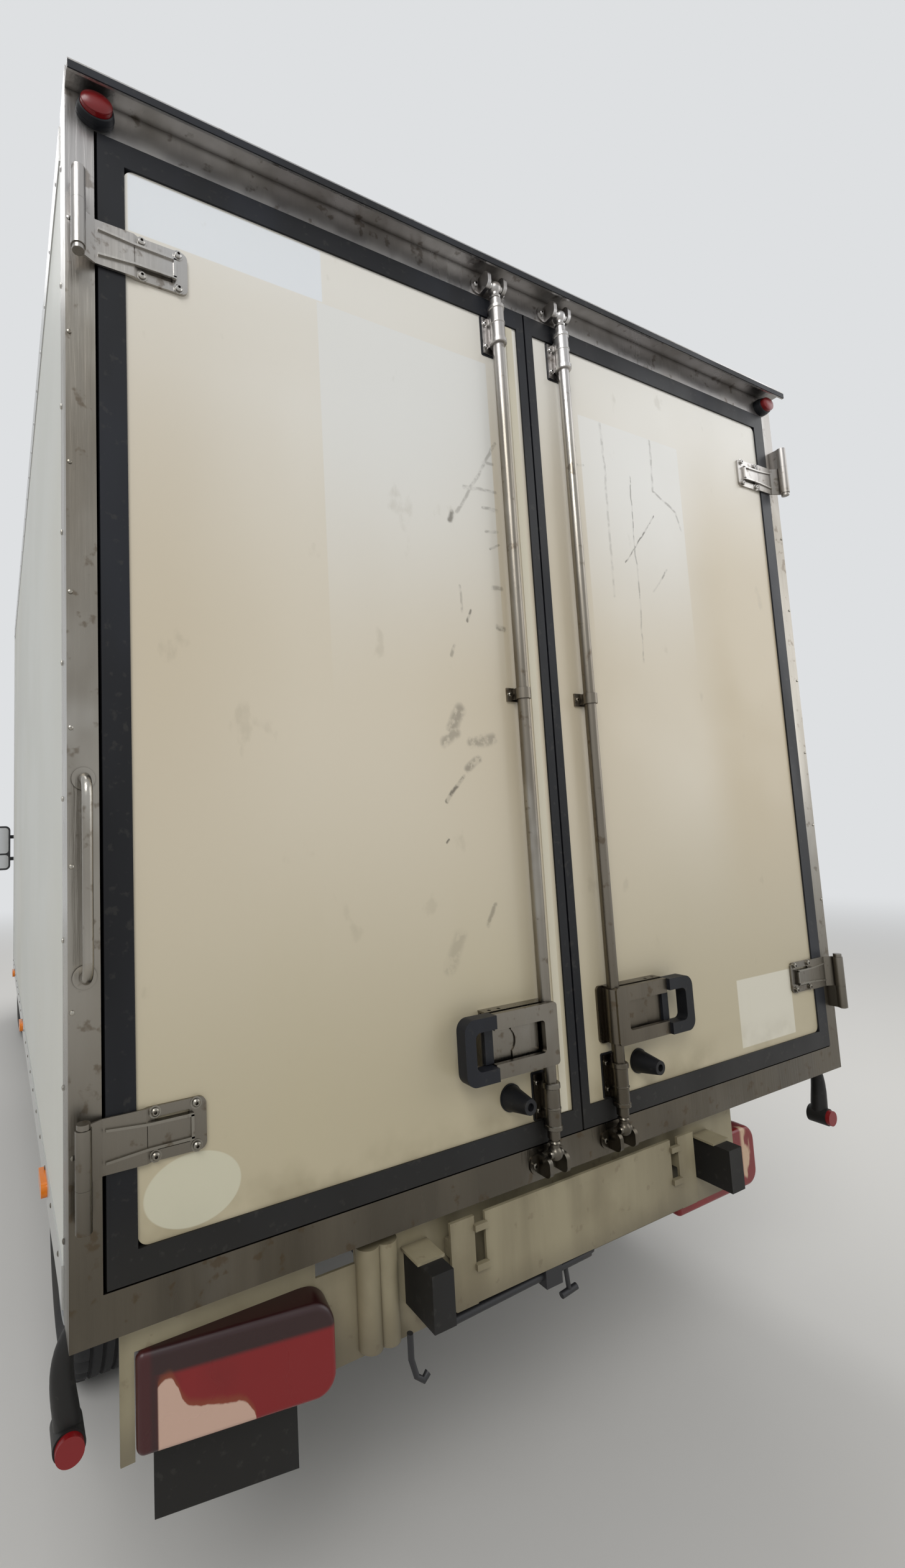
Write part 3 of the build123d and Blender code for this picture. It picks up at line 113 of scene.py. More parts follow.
def add_node(tree, kind, inputs=None, **settings):
    """A new shader node with its settings and its inputs."""
    made = tree.nodes.new("ShaderNode" + kind)
    for key, value in settings.items():
        setattr(made, key, value)
    for key, value in (inputs or {}).items():
        feed(tree, made.inputs[key], value)
    return made


class Paint:
    """A material whose base colour lies under masks made from the piece's own coordinates."""

    def __init__(self, name, base, roughness, metallic=0.0, slot=None, others=None):
        self.material = bpy.data.materials.new(name)
        self.material.use_nodes = True
        self.slot = slot or name
        self.tree = self.material.node_tree
        self.shader = self.tree.nodes["Principled BSDF"]
        sockets = {"Base Color": colour(*base), "Roughness": roughness, "Metallic": metallic}
        for socket, value in (sockets | (others or {})).items():
            self.shader.inputs[socket].default_value = value
        self.place = self.add("TexCoord").outputs["Object"]
        self.x, self.y, self.z = self.add("SeparateXYZ", {0: self.place}).outputs

    def add(self, kind, inputs=None, **settings):
        """A new node of this material."""
        return add_node(self.tree, kind, inputs, **settings)

    def math(self, operation, first, second=0.0):
        """One step of arithmetic on numbers or masks."""
        return self.add("Math", {0: first, 1: second}, operation=operation).outputs[0]

    def both(self, first, second):
        """The product of two masks."""
        return self.math("MULTIPLY", first, second)

    def vector(self, operation, first, second=(0.0, 0.0, 0.0), scale=1.0):
        """One step of arithmetic on points."""
        made = self.add("VectorMath", {0: first, 1: second, 3: scale}, operation=operation)
        return made.outputs["Value" if operation in ("DOT_PRODUCT", "LENGTH") else "Vector"]

    def ramp(self, value, low, high, kind="SMOOTHSTEP"):
        """0 at low and 1 at high."""
        span = {"Value": value, "From Min": low, "From Max": high}
        return self.add("MapRange", span, interpolation_type=kind).outputs["Result"]

    def window(self, value, low, high, soft):
        """1 between low and high, falling to 0 over soft."""
        return self.both(self.ramp(value, low - soft, low + soft), self.ramp(value, high + soft, high - soft))

    def noise(self, scale, low=0.4, high=0.6, stretch=(1, 1, 1), shift=0.0, detail=4.0):
        """Cloudy noise as a mask, 0 below low and 1 above high."""
        shifts = (shift, shift * 0.7, shift * 1.3)
        move = self.add("Mapping", {"Vector": self.place, "Location": shifts, "Scale": stretch})
        made = self.add("TexNoise", {"Vector": move.outputs[0], "Scale": scale, "Detail": detail})
        return self.ramp(made.outputs["Fac"], low, high)

    def occlusion_shade(self, reach=0.02):
        """1 in the piece's own corners and gaps, 0 in the open: the mask for painted shade there."""
        made = self.add("AmbientOcclusion", {"Distance": reach}, only_local=True, samples=6)
        return self.ramp(made.outputs["AO"], 0.8, 0.3)

    def stroke(self, flat, start, end, width):
        """1 along a line on the x z plane, falling to 0 at its half width."""
        run = Vector((end[0] - start[0], 0, end[1] - start[1]))
        away = self.vector("SUBTRACT", flat, (start[0], 0.0, start[1]))
        part = self.vector("DOT_PRODUCT", away, tuple(run / run.length_squared))
        part = self.math("MINIMUM", self.math("MAXIMUM", part, 0.0), 1.0)
        off = self.vector("SUBTRACT", away, self.vector("SCALE", tuple(run), scale=part))
        return self.ramp(self.vector("LENGTH", off), width, width * 0.25)

    def tint(self, mask, tone, strength=1.0):
        """Lays a colour over what is there, by a mask."""
        target = self.shader.inputs["Base Color"]
        under = target.links[0].from_socket if target.is_linked else tuple(target.default_value)
        layers = {0: self.both(mask, strength), 6: under, 7: colour(*tone)}
        feed(self.tree, target, self.add("Mix", layers, data_type="RGBA").outputs[2])

    def roughen(self, mask, amount):
        """Changes the roughness from its base to amount, by a mask."""
        target = self.shader.inputs["Roughness"]
        spread = self.both(mask, amount - target.default_value)
        feed(self.tree, target, self.math("ADD", spread, target.default_value))

    def bump(self, height, distance, strength):
        """Tilts the surface by a height mask."""
        made = self.add("Bump", {"Height": height, "Distance": distance, "Strength": strength})
        feed(self.tree, self.shader.inputs["Normal"], made.outputs[0])


# Shapes
def turns(count):
    """The angles of a full round in equal steps."""
    return [2 * math.pi * step / count for step in range(count)]


def arc(centre, radius, start, end, count):
    """Points on an arc in a plane, angles in degrees."""
    angles = [math.radians(start + (end - start) * step / count) for step in range(count + 1)]
    return [(centre[0] + radius * math.cos(angle), centre[1] + radius * math.sin(angle)) for angle in angles]


def rounded(low, high, radius, count=5):
    """A rectangle with round corners between two corners of a plane."""
    left, right = low[0] + radius, high[0] - radius
    foot, top = low[1] + radius, high[1] - radius
    points = []
    for place, centre in enumerate(((right, top), (left, top), (left, foot), (right, foot))):
        points += arc(centre, radius, 90 * place, 90 * place + 90, count)
    return points


def circle(middle, first, second, radius, count):
    """A ring of points in the plane of two directions."""
    return [middle + (first * math.cos(turn) + second * math.sin(turn)) * radius for turn in turns(count)]


def mirrored(sign, xs):
    """Two distances from the middle plane as x on one side, the lower first."""
    return sorted(sign * x for x in xs)


def soften(piece, width, angle=35):
    """Rounds a piece's sharp edges a little."""
    rounding = piece.modifiers.new("rounding", "BEVEL")
    rounding.width = width
    rounding.segments = 2
    rounding.limit_method = "ANGLE"
    rounding.angle_limit = math.radians(angle)
    rounding.harden_normals = False


class Kit:
    """Small pieces gathered into one mesh that rides on one body."""

    def __init__(self, name, paint, body="truck", slot=None, bevel=0.0, smooth=True):
        self.name = name
        self.paint = paints[paint]
        self.body = body
        self.slot = slot or self.paint.slot
        self.bevel, self.smooth = bevel, smooth
        self.mesh = bmesh.new()

    def ring_mesh(self, rings, closed=False):
        """Joins rings into a skin, with caps unless it closes on itself."""
        made = [[self.mesh.verts.new(point) for point in ring] for ring in rings]
        pairs = list(zip(made, made[1:])) + ([(made[-1], made[0])] if closed else [])
        count = len(made[0])
        for first, second in pairs:
            for place in range(count):
                follow = (place + 1) % count
                self.mesh.faces.new((first[place], first[follow], second[follow], second[place]))
        if not closed:
            self.mesh.faces.new(list(reversed(made[0])))
            self.mesh.faces.new(made[-1])

    def box(self, low, high):
        """A block between two corners."""
        xs, ys, zs = zip(low, high)
        base = [(xs[0], ys[0]), (xs[1], ys[0]), (xs[1], ys[1]), (xs[0], ys[1])]
        self.ring_mesh([[(x, y, z) for x, y in base] for z in zs])

    def side_box(self, sign, xs, ys, zs):
        """A block on one side of the truck."""
        x_low, x_high = mirrored(sign, xs)
        self.box((x_low, ys[0], zs[0]), (x_high, ys[1], zs[1]))

    def prism(self, outline, xs):
        """An outline on y and z, pushed out between two x."""
        self.ring_mesh([[(x, y, z) for y, z in outline] for x in xs])

    def rear_prism(self, outline, ys):
        """An outline on x and z, pushed out between two y."""
        self.ring_mesh([[(x, y, z) for x, z in outline] for y in ys])

    def turned(self, centre, axis, profile, count=20):
        """A form turned about an axis from a profile of (distance along, radius)."""
        middle, axis = Vector(centre), Vector(axis).normalized()
        first = axis.orthogonal().normalized()
        second = axis.cross(first)
        rings = [circle(middle + axis * along, first, second, radius, count) for along, radius in profile]
        self.ring_mesh(rings)

    def rod(self, start, end, radius, count=16):
        """A straight round bar."""
        start, end = Vector(start), Vector(end)
        self.turned(start, end - start, ((0, radius), ((end - start).length, radius)), count)

    def tube(self, path, radius, count=12):
        """A bent round bar along a path of points."""
        path = [Vector(point) for point in path]
        rings = []
        side = None
        for place, point in enumerate(path):
            before, after = path[max(place - 1, 0)], path[min(place + 1, len(path) - 1)]
            along = (after - before).normalized()
            side = along.orthogonal() if side is None else side - along * side.dot(along)
            side = side.normalized()
            rings.append(circle(point, side, along.cross(side), radius, count))
        self.ring_mesh(rings)

    def bolt(self, place, axis, radius=0.0065, height=0.006):
        """A button-head bolt with a washer and a dark socket."""
        washer = radius * 1.5
        washer_height = 0.0012
        socket = radius * 0.42
        head = ((height * 0.7, radius), (height, radius * 0.7), (height, socket), (height * 0.45, socket))
        self.turned(place, axis, ((0, washer), (washer_height, washer), (washer_height, radius)) + head, 12)

    def rivet(self, place, axis, radius=0.005):
        """A low domed rivet."""
        dome = ((0, radius), (radius * 0.3, radius * 0.85), (radius * 0.5, radius * 0.4))
        self.turned(place, axis, dome, 10)

    def done(self):
        """Makes the object, with its material and body."""
        bmesh.ops.recalc_face_normals(self.mesh, faces=self.mesh.faces)
        data = bpy.data.meshes.new(self.name)
        self.mesh.to_mesh(data)
        self.mesh.free()
        data.materials.append(self.paint.material)
        made = bpy.data.objects.new(self.name, data)
        link(made)
        if self.smooth:
            data.shade_smooth()
            split = made.modifiers.new("edges", "EDGE_SPLIT")
            split.split_angle = math.radians(35)
        if self.bevel:
            soften(made, self.bevel)
        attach(made, self.body)
        return made


# Camera
optics = bpy.data.cameras.new("photo_camera")
optics.sensor_fit = "VERTICAL"
optics.sensor_height = SENSOR
optics.sensor_width = SENSOR
optics.lens = FOCAL_PIXELS / IMAGE_HEIGHT * SENSOR
optics.shift_x = (IMAGE_WIDTH / 2 - PRINCIPAL[0]) / IMAGE_HEIGHT
optics.shift_y = (PRINCIPAL[1] - IMAGE_HEIGHT / 2) / IMAGE_HEIGHT
optics.clip_start = 0.02
optics.clip_end = 200
camera = bpy.data.objects.new("photo_camera", optics)
link(camera)
level = math.cos(CAMERA_PITCH)
forward = Vector((math.sin(CAMERA_YAW) * level, math.cos(CAMERA_YAW) * level, math.sin(CAMERA_PITCH)))
flat_right = Vector((math.cos(CAMERA_YAW), -math.sin(CAMERA_YAW), 0))
flat_up = flat_right.cross(forward)
right = math.cos(CAMERA_ROLL) * flat_right + math.sin(CAMERA_ROLL) * flat_up
up = math.cos(CAMERA_ROLL) * flat_up - math.sin(CAMERA_ROLL) * flat_right
camera.matrix_world = (Matrix.Translation(CAMERA_PLACE)
                       @ Matrix((right, up, -forward)).transposed().to_4x4())
scene.camera = camera
scene.view_settings.view_transform = "Standard"
scene.view_settings.look = "None"

# Floor and backdrop: far from the truck the floor takes the backdrop's tone
FLOOR_HALF = 40
FADE_FROM = 4.5
FADE_TO = 13.0
BACKDROP_TONE = colour(222, 224, 226)
WORLD_LIGHT = 0.55


def seen_rays(tree):
    """1 for rays from the camera, a mirror or glass, and 0 for those that only light."""
    rays = add_node(tree, "LightPath").outputs
    total = rays["Is Camera Ray"]
    for kind in ("Is Glossy Ray", "Is Transmission Ray"):
        total = add_node(tree, "Math", {0: total, 1: rays[kind]}, operation="MAXIMUM").outputs[0]
    return total


scene.world = bpy.data.worlds.new("studio")
scene.world.use_nodes = True
sky = scene.world.node_tree
backdrop = sky.nodes["Background"].inputs
world_light = add_node(sky, "MapRange", {"Value": seen_rays(sky), "To Min": WORLD_LIGHT})
feed(sky, backdrop["Color"], BACKDROP_TONE)
feed(sky, backdrop["Strength"], world_light.outputs["Result"])

floor_mesh = bpy.data.meshes.new("floor")
corners = [(x * FLOOR_HALF, y * FLOOR_HALF, 0) for x, y in ((-1, -1), (1, -1), (1, 1), (-1, 1))]
floor_mesh.from_pydata(corners, [], [(0, 1, 2, 3)])
floor = bpy.data.objects.new("floor", floor_mesh)
link(floor)
ground = Paint("floor", (206, 204, 200), 0.8)
floor_mesh.materials.append(ground.material)
away = ground.math("ADD", ground.both(ground.x, ground.x), ground.both(ground.y, ground.y))
fading = ground.ramp(ground.math("SQRT", away), FADE_FROM, FADE_TO)
glow = ground.add("Emission", {"Color": BACKDROP_TONE}).outputs[0]
faded = {0: ground.both(fading, seen_rays(ground.tree)), 1: ground.shader.outputs[0], 2: glow}
surface = ground.tree.nodes["Material Output"].inputs["Surface"]
feed(ground.tree, surface, ground.add("MixShader", faded).outputs[0])

LIGHTS = (
    # name, place, target, size, power
    ("key", (-4.5, -7.5, 7.0), (0, -2.7, 1.4), 4.0, 330),
    ("fill", (6.0, -6.0, 4.0), (0, -2.7, 1.4), 5.0, 110),
    ("top", (0, 1.0, 9.0), (0, 0, 1.5), 7.0, 380),
    ("front", (5.5, 9.0, 5.0), (0, 2.0, 1.2), 5.0, 200),
)
for name, place, target, size, power in LIGHTS:
    light = bpy.data.lights.new(name, "AREA")
    light.shape = "SQUARE"
    light.size = size
    light.energy = power
    stand = bpy.data.objects.new(name, light)
    link(stand)
    facing = (Vector(target) - Vector(place)).to_track_quat("-Z", "Y")
    stand.matrix_world = Matrix.Translation(place) @ facing.to_matrix().to_4x4()

# Materials
PAINTS = (
    # name, colour, roughness, metallic, the record's slot where it has another name, other settings
    ("stainless", (160, 155, 146), 0.26, 1.0),
    ("bright", (186, 182, 172), 0.22, 1.0, "stainless"),
    ("aluminium", (196, 196, 194), 0.38, 0.9, "stainless"),
    ("chrome", (200, 200, 200), 0.12, 1.0, "stainless"),
    ("white_panel", (208, 209, 203), 0.55, 0.0, None, {"Specular IOR Level": 0.25}),
    ("door_panel", (228, 225, 217), 0.3, 0.0, "white_panel"),
    ("cab_paint", (222, 222, 218), 0.22, 0.0, None, {"Coat Weight": 0.4, "Coat Roughness": 0.06}),
    ("bumper_paint", (148, 139, 113), 0.55, 0.0),
    ("cream_edge", (206, 199, 178), 0.5, 0.0, "bumper_paint"),
    ("frame_paint", (33, 33, 35), 0.5, 0.0),
    ("load_floor", (104, 106, 108), 0.75, 0.0, "frame_paint"),
    ("rubber", (13, 14, 18), 0.6, 0.0, None, {"Specular IOR Level": 0.3}),
    ("black_plastic", (36, 36, 38), 0.55, 0.0),
    ("dark", (14, 14, 15), 0.7, 0.0, "black_plastic"),
    ("red_lens", (122, 10, 14), 0.2, 0.0),
    ("clear_lens", (205, 210, 214), 0.12, 0.0),
    ("amber", (214, 116, 20), 0.2, 0.0, "clear_lens"),
    ("glass", (128, 150, 146), 0.04, 0.0, None, {"Transmission Weight": 0.92, "IOR": 1.45}),
    ("tyre", (30, 30, 31), 0.85, 0.0),
    ("wheel_paint", (164, 166, 168), 0.38, 0.3),
    ("seat_fabric", (44, 48, 55), 0.92, 0.0),
    ("cast", (88, 88, 90), 0.6, 0.5),
    ("unit_plastic", (226, 227, 226), 0.35, 0.0),
)
paints = {row[0]: Paint(*row) for row in PAINTS}


def weather_metal(paint):
    """Bare metal: dull blotches, run marks and dirt specks, with a painted highlight towards the top, painted
    shade and dark reflection low down, and painted shade in its own corners.
    """
    streak = paint.noise(9.0, 0.35, 0.7, (1, 1, 0.12), 1.0)
    paint.tint(paint.noise(1.6, 0.42, 0.62, (1, 1, 0.5), 3.0, 6.0), (104, 96, 84), 0.75)
    paint.tint(paint.noise(3.1, 0.53, 0.66, (1, 1, 0.7), 9.0), (208, 206, 200), 0.45)
    # painted highlight: the metal paler towards the top
    paint.tint(paint.ramp(paint.z, 2.35, 2.65), (206, 205, 208), 0.55)
    # painted shade and dark reflection: the metal darker and browner low down
    paint.tint(paint.ramp(paint.z, 1.4, 0.8), (62, 56, 45), 0.8)
    paint.tint(streak, (126, 118, 104), 0.35)
    paint.tint(paint.noise(38.0, 0.6, 0.7, shift=4.0), (82, 66, 46), 0.5)
    # painted shade in the piece's own corners and gaps
    paint.tint(paint.occlusion_shade(), (44, 36, 28), 0.85)
    paint.roughen(streak, 0.46)
    paint.bump(paint.noise(120.0, 0.3, 0.7, (1, 1, 0.05)), 0.0006, 0.35)


# Rear doors' skin: yellowed, paler where stickers were, dirty and darkened by painted shade at the foot,
# scuffed beside the rods
PALE_PATCHES = (
    # x from, x to, z from, z to, colour, strength, height over which its foot fades in
    (-0.945, -0.557, 2.578, 2.69, (228, 232, 236), 0.95, 0.0),
    (-0.57, -0.128, 1.7, 2.575, (226, 227, 225), 0.7, 0.75),
    (0.17, 0.56, 1.85, 2.53, (226, 226, 223), 0.65, 0.55),
    (0.597, 0.842, 0.893, 1.065, (226, 223, 210), 0.65, 0.0),
)
PATCH_EDGE = 0.0015
OVAL_X, OVAL_Z = -0.862, 0.938
OVAL_HALF_X, OVAL_HALF_Z = 0.08, 0.056
INSIDE_FROM = 0.02  # ahead of the skin: the doors' inner faces are clean
SCRATCH_WAVER = 0.012
SCRATCHES = (
    # x and z of one end, x and z of the other, half width, strength
    (-0.115, 2.38, -0.24, 2.19, 0.006, 0.4), (-0.255, 2.185, -0.26, 2.17, 0.01, 0.75),
    (-0.155, 2.325, -0.125, 2.325, 0.006, 0.35), (-0.215, 2.255, -0.125, 2.26, 0.006, 0.35),
    (-0.165, 2.215, -0.125, 2.215, 0.006, 0.45), (-0.16, 2.16, -0.125, 2.165, 0.005, 0.45),
    (-0.15, 2.12, -0.125, 2.135, 0.004, 0.8), (-0.15, 2.03, -0.125, 2.03, 0.008, 0.45),
    (-0.145, 1.94, -0.125, 1.935, 0.009, 0.6), (-0.245, 2.02, -0.245, 1.965, 0.005, 0.35),
    (-0.22, 1.97, -0.23, 1.945, 0.005, 0.75), (-0.27, 1.885, -0.28, 1.865, 0.007, 0.45),
    (-0.265, 1.745, -0.29, 1.705, 0.02, 0.5), (-0.28, 1.695, -0.31, 1.675, 0.017, 0.45),
    (-0.24, 1.675, -0.18, 1.685, 0.017, 0.45), (-0.225, 1.64, -0.255, 1.62, 0.013, 0.55),
    (-0.265, 1.605, -0.315, 1.55, 0.006, 0.8), (-0.315, 1.47, -0.32, 1.465, 0.004, 0.85),
    (-0.3, 1.275, -0.33, 1.215, 0.022, 0.22), (-0.205, 1.33, -0.225, 1.29, 0.008, 0.45),
    (0.35, 2.405, 0.345, 2.205, 0.003, 0.65), (0.345, 2.205, 0.35, 2.07, 0.004, 0.5),
    (0.35, 2.07, 0.34, 1.9, 0.004, 0.35), (0.25, 2.525, 0.255, 2.41, 0.006, 0.35),
    (0.255, 2.41, 0.25, 2.065, 0.006, 0.28), (0.445, 2.525, 0.44, 2.38, 0.006, 0.4),
    (0.44, 2.38, 0.53, 2.34, 0.005, 0.5), (0.53, 2.34, 0.545, 2.29, 0.005, 0.4),
    (0.435, 2.31, 0.345, 2.205, 0.003, 0.85), (0.345, 2.205, 0.305, 2.16, 0.003, 0.75),
    (0.47, 2.165, 0.405, 2.095, 0.004, 0.55), (0.13, 2.39, 0.175, 2.395, 0.005, 0.35),
)


def yellow_and_shade_door(door):
    """Tones that change with height and towards the edges, the darker foot partly painted shade."""
    x, z = door.x, door.z
    both, ramp, window, tint = door.both, door.ramp, door.window, door.tint
    cloud = door.noise(1.1, 0.25, 0.7, (1, 1, 0.35), 2.0)
    left_edge = both(ramp(x, -0.6, -0.93), window(z, 1.45, 2.42, 0.3))
    under_patch = both(window(x, -0.93, -0.4, 0.14), window(z, 2.38, 2.56, 0.07))
    outer_right = both(ramp(x, 0.5, 0.72), window(z, 1.35, 2.4, 0.3))
    middle_band = both(ramp(door.math("ABSOLUTE", x), 0.46, 0.08), window(z, 1.45, 2.5, 0.25))
    tint(ramp(z, 2.5, 1.75), (211, 200, 178), 0.85)
    tint(both(window(z, 1.75, 2.45, 0.3), cloud), (198, 183, 155), 0.4)
    # darker and browner towards the foot: partly painted shade
    tint(ramp(z, 1.75, 0.9), (176, 165, 134), 0.8)
    tint(left_edge, (184, 168, 138), 0.35)
    tint(under_patch, (206, 194, 172), 0.15)
    tint(outer_right, (192, 176, 144), 0.7)
    tint(middle_band, (190, 176, 148), 0.55)


def patch_door(door):
    """Dirt, and the paler rectangles and oval where plain stickers were."""
    x, z = door.x, door.z
    for x_low, x_high, z_low, z_high, tone, strength, fade_in in PALE_PATCHES:
        across = door.window(x, x_low, x_high, PATCH_EDGE)
        patch = door.both(across, door.window(z, z_low, z_high, PATCH_EDGE))
        if fade_in:
            patch = door.both(patch, door.ramp(z, z_low, z_low + fade_in))
        door.tint(patch, tone, strength)
    specks = door.noise(14.0, 0.66, 0.74, (1, 1, 0.6), 6.0, 8.0)
    low_dirt = door.both(door.noise(3.2, 0.5, 0.7, (1.5, 1, 0.4), 11.0, 8.0), door.ramp(z, 1.5, 0.9))
    foot_dirt = door.both(door.ramp(z, 0.97, 0.88), door.noise(6.0, 0.4, 0.7, (1, 1, 1), 8.0))
    door.tint(specks, (150, 140, 118), 0.2)
    door.tint(low_dirt, (190, 180, 148), 0.4)
    door.tint(foot_dirt, (128, 116, 88), 0.55)
    oval_x = door.math("DIVIDE", door.math("SUBTRACT", x, OVAL_X), OVAL_HALF_X)
    oval_z = door.math("DIVIDE", door.math("SUBTRACT", z, OVAL_Z), OVAL_HALF_Z)
    oval = door.math("ADD", door.both(oval_x, oval_x), door.both(oval_z, oval_z))
    # the pale oval's tone is held low: painted shade at the door's foot
    door.tint(door.ramp(oval, 1.03, 0.95), (206, 204, 182), 0.7)


def scratch_door(door):
    """Dark scratches and scuffs, broken up and wavering."""
    flat = door.vector("MULTIPLY", door.place, (1.0, 0.0, 1.0))
    shaken = door.add("TexNoise", {"Vector": flat, "Scale": 22.0})
    centred = door.vector("SUBTRACT", shaken.outputs["Color"], (0.5, 0.5, 0.5))
    shake = door.vector("SCALE", centred, scale=SCRATCH_WAVER)
    wavering = door.vector("ADD", flat, door.vector("MULTIPLY", shake, (1.0, 0.0, 1.0)))
    scratched = 0.0
    for start_x, start_z, end_x, end_z, half_width, strength in SCRATCHES:
        line = door.stroke(wavering, (start_x, start_z), (end_x, end_z), half_width)
        scratched = door.math("MAXIMUM", door.both(line, strength), scratched)
    specks = door.noise(55.0, 0.4, 0.56, (1, 1, 1), 3.0, 6.0)
    broken = door.math("ADD", door.both(specks, 0.75), 0.25)
    door.tint(door.both(scratched, broken), (86, 78, 66))


def dress_door(door):
    """The whole skin of both rear doors."""
    yellow_and_shade_door(door)
    patch_door(door)
    scratch_door(door)
    inside = REAR_Y + INSIDE_FROM
    door.tint(door.ramp(door.y, inside, inside + 0.01), (222, 221, 213))
    door.roughen(door.noise(2.2, 0.35, 0.65, shift=5.0), 0.45)


# Tail lamps: a dark shell round the left red lens, painted shade over its top, its lower left film peeled,
# and a peeled right end
LAMP_X = (-0.975, -0.615)
LENS_TOP = BASE_Z - 0.088
PEEL_LOW = BASE_Z - 0.198
PEEL_RISE = 0.105
PEEL_LEFT, PEEL_RIGHT = -0.921, -0.768
PEEL_EDGE = (
    # part of the way from the peel's left to its right, height as a part of its rise
    (0.0, 0.93), (0.1, 1.0), (0.19, 0.86), (0.27, 0.62), (0.4, 0.5),
    (0.62, 0.44), (0.82, 0.4), (0.94, 0.24), (1.0, 0.0),
)
RIGHT_PEEL_X = (0.606, 0.68)
RIGHT_PEEL_Z = (BASE_Z - 0.3, BASE_Z - 0.05)


def peel_height(lamp):
    """Height of the peeled film's upper edge above its foot, across the lens."""
    edge = lamp.add("FloatCurve", {"Value": lamp.ramp(lamp.x, PEEL_LEFT, PEEL_RIGHT, "LINEAR")})
    curve = edge.mapping.curves[0]
    curve.points[0].location = PEEL_EDGE[0]
    curve.points[-1].location = PEEL_EDGE[-1]
    for spot in PEEL_EDGE[1:-1]:
        curve.points.new(*spot)
    edge.mapping.update()
    waves = lamp.math("SUBTRACT", lamp.noise(28.0, 0.2, 0.8, (1, 1, 1), 1.7, 3.0), 0.5)
    return lamp.math("ADD", lamp.both(edge.outputs[0], PEEL_RISE), lamp.both(waves, 0.008))


def dress_lamps(lamp):
    """Red lenses with peeled films, the left one in a dark shell, with painted shade over its top and on its
    rounded left end.
    """
    x, y, z = lamp.x, lamp.y, lamp.z
    both, ramp, window, tint = lamp.both, lamp.ramp, lamp.window, lamp.tint
    tint(lamp.noise(5.0, 0.5, 0.75, shift=4.0), (88, 8, 12), 0.5)
    across = window(x, *LAMP_X, 0.01)
    front_face = both(across, ramp(y, REAR_Y + 0.034, REAR_Y + 0.026))
    # painted shade: a dark band over the lens's rounded top
    lens_top_shade = ramp(z, LENS_TOP - 0.006, LENS_TOP + 0.004)
    shell_and_top_shade = lamp.math("MAXIMUM", lens_top_shade, ramp(y, REAR_Y + 0.01, REAR_Y + 0.018))
    tint(both(shell_and_top_shade, both(across, ramp(z, BASE_Z, BASE_Z - 0.02))), (20, 15, 15), 0.92)
    depth_in = lamp.math("SUBTRACT", lamp.math("ADD", peel_height(lamp), PEEL_LOW), z)
    left_end = ramp(x, PEEL_LEFT - 0.001, PEEL_LEFT + 0.002)
    right_end = ramp(x, PEEL_RIGHT, PEEL_RIGHT - 0.003)
    foot = ramp(z, PEEL_LOW + 0.002, PEEL_LOW + 0.005)
    peel = both(both(both(left_end, right_end), front_face), foot)
    tint(both(peel, ramp(depth_in, -0.012, 0.0)), (128, 66, 34), 0.6)
    tint(both(peel, ramp(depth_in, 0.0, 0.003)), (196, 164, 146), 0.95)
    # painted shade: darker red on the lens's rounded left end
    tint(both(ramp(x, -0.925, -0.935), front_face), (66, 10, 14), 0.7)
    flaked_end = both(window(x, *RIGHT_PEEL_X, 0.006), window(z, *RIGHT_PEEL_Z, 0.01))
    flakes = lamp.noise(16.0, 0.44, 0.5, (1, 1, 0.5), 5.0, 3.0)
    tint(both(flaked_end, flakes), (198, 170, 140), 0.9)
    lamp.roughen(lamp.noise(4.0, 0.3, 0.6), 0.42)


def dress_bumper(paint):
    """Faded cream paint under brown grime, darker towards its lower edge, with painted shade in its own
    corners and gaps.
    """
    paint.tint(paint.noise(5.0, 0.4, 0.65, (1, 1, 1), 2.0, 8.0), (118, 108, 84), 0.6)
    paint.tint(paint.noise(31.0, 0.64, 0.7, shift=3.0), (84, 58, 36), 0.25)
    paint.tint(paint.noise(4.0, 0.4, 0.7, (2.2, 1, 0.25), 7.0, 6.0), (96, 86, 64), 0.5)
    paint.tint(paint.ramp(paint.z, 0.64, 0.555), (92, 84, 68), 0.6)
    # painted shade in the piece's own corners and gaps
    paint.tint(paint.occlusion_shade(), (58, 48, 34), 0.7)


def dress_rubber(paint):
    """Black rubber, greyed in clouds and dusty low down."""
    paint.tint(paint.noise(4.0, 0.45, 0.7, (1, 1, 0.3), 1.0), (32, 35, 43), 0.6)
    paint.tint(paint.ramp(paint.z, 1.0, 0.83), (30, 28, 24), 0.7)
    paint.tint(paint.noise(60.0, 0.6, 0.72, shift=6.0), (62, 60, 56), 0.3)
    paint.roughen(paint.noise(3.0, 0.4, 0.6, (1, 1, 0.4), 4.0), 0.45)


weather_metal(paints["stainless"])
weather_metal(paints["bright"])
dress_door(paints["door_panel"])
dress_lamps(paints["red_lens"])
dress_bumper(paints["bumper_paint"])
dress_rubber(paints["rubber"])
panel, rails, tyre = paints["white_panel"], paints["frame_paint"], paints["tyre"]
fabric, plastic = paints["seat_fabric"], paints["black_plastic"]
panel.tint(panel.noise(0.9, 0.4, 0.7, shift=2.0), (206, 202, 188), 0.35)
panel.roughen(panel.noise(2.0), 0.46)
rails.tint(rails.noise(7.0, 0.5, 0.7, shift=2.0, detail=8.0), (74, 62, 50), 0.5)
tyre.tint(tyre.noise(3.0, 0.4, 0.7, shift=1.0), (62, 58, 52), 0.4)
fabric.tint(fabric.noise(90.0, 0.45, 0.55), (66, 72, 82), 0.4)
fabric.bump(fabric.noise(500.0, 0.3, 0.7), 0.0006, 0.4)
plastic.bump(plastic.noise(420.0, 0.3, 0.7), 0.0004, 0.3)

for part in frame["record"]["subparts"]:
    mesh = nodes[part["node"]].data
    mesh.materials.clear()
    mesh.materials.append(paints[part["material_slot"]].material)
for side, _ in SIDES:
    nodes[f"rear_door_{side}"].data.materials[0] = paints["door_panel"].material

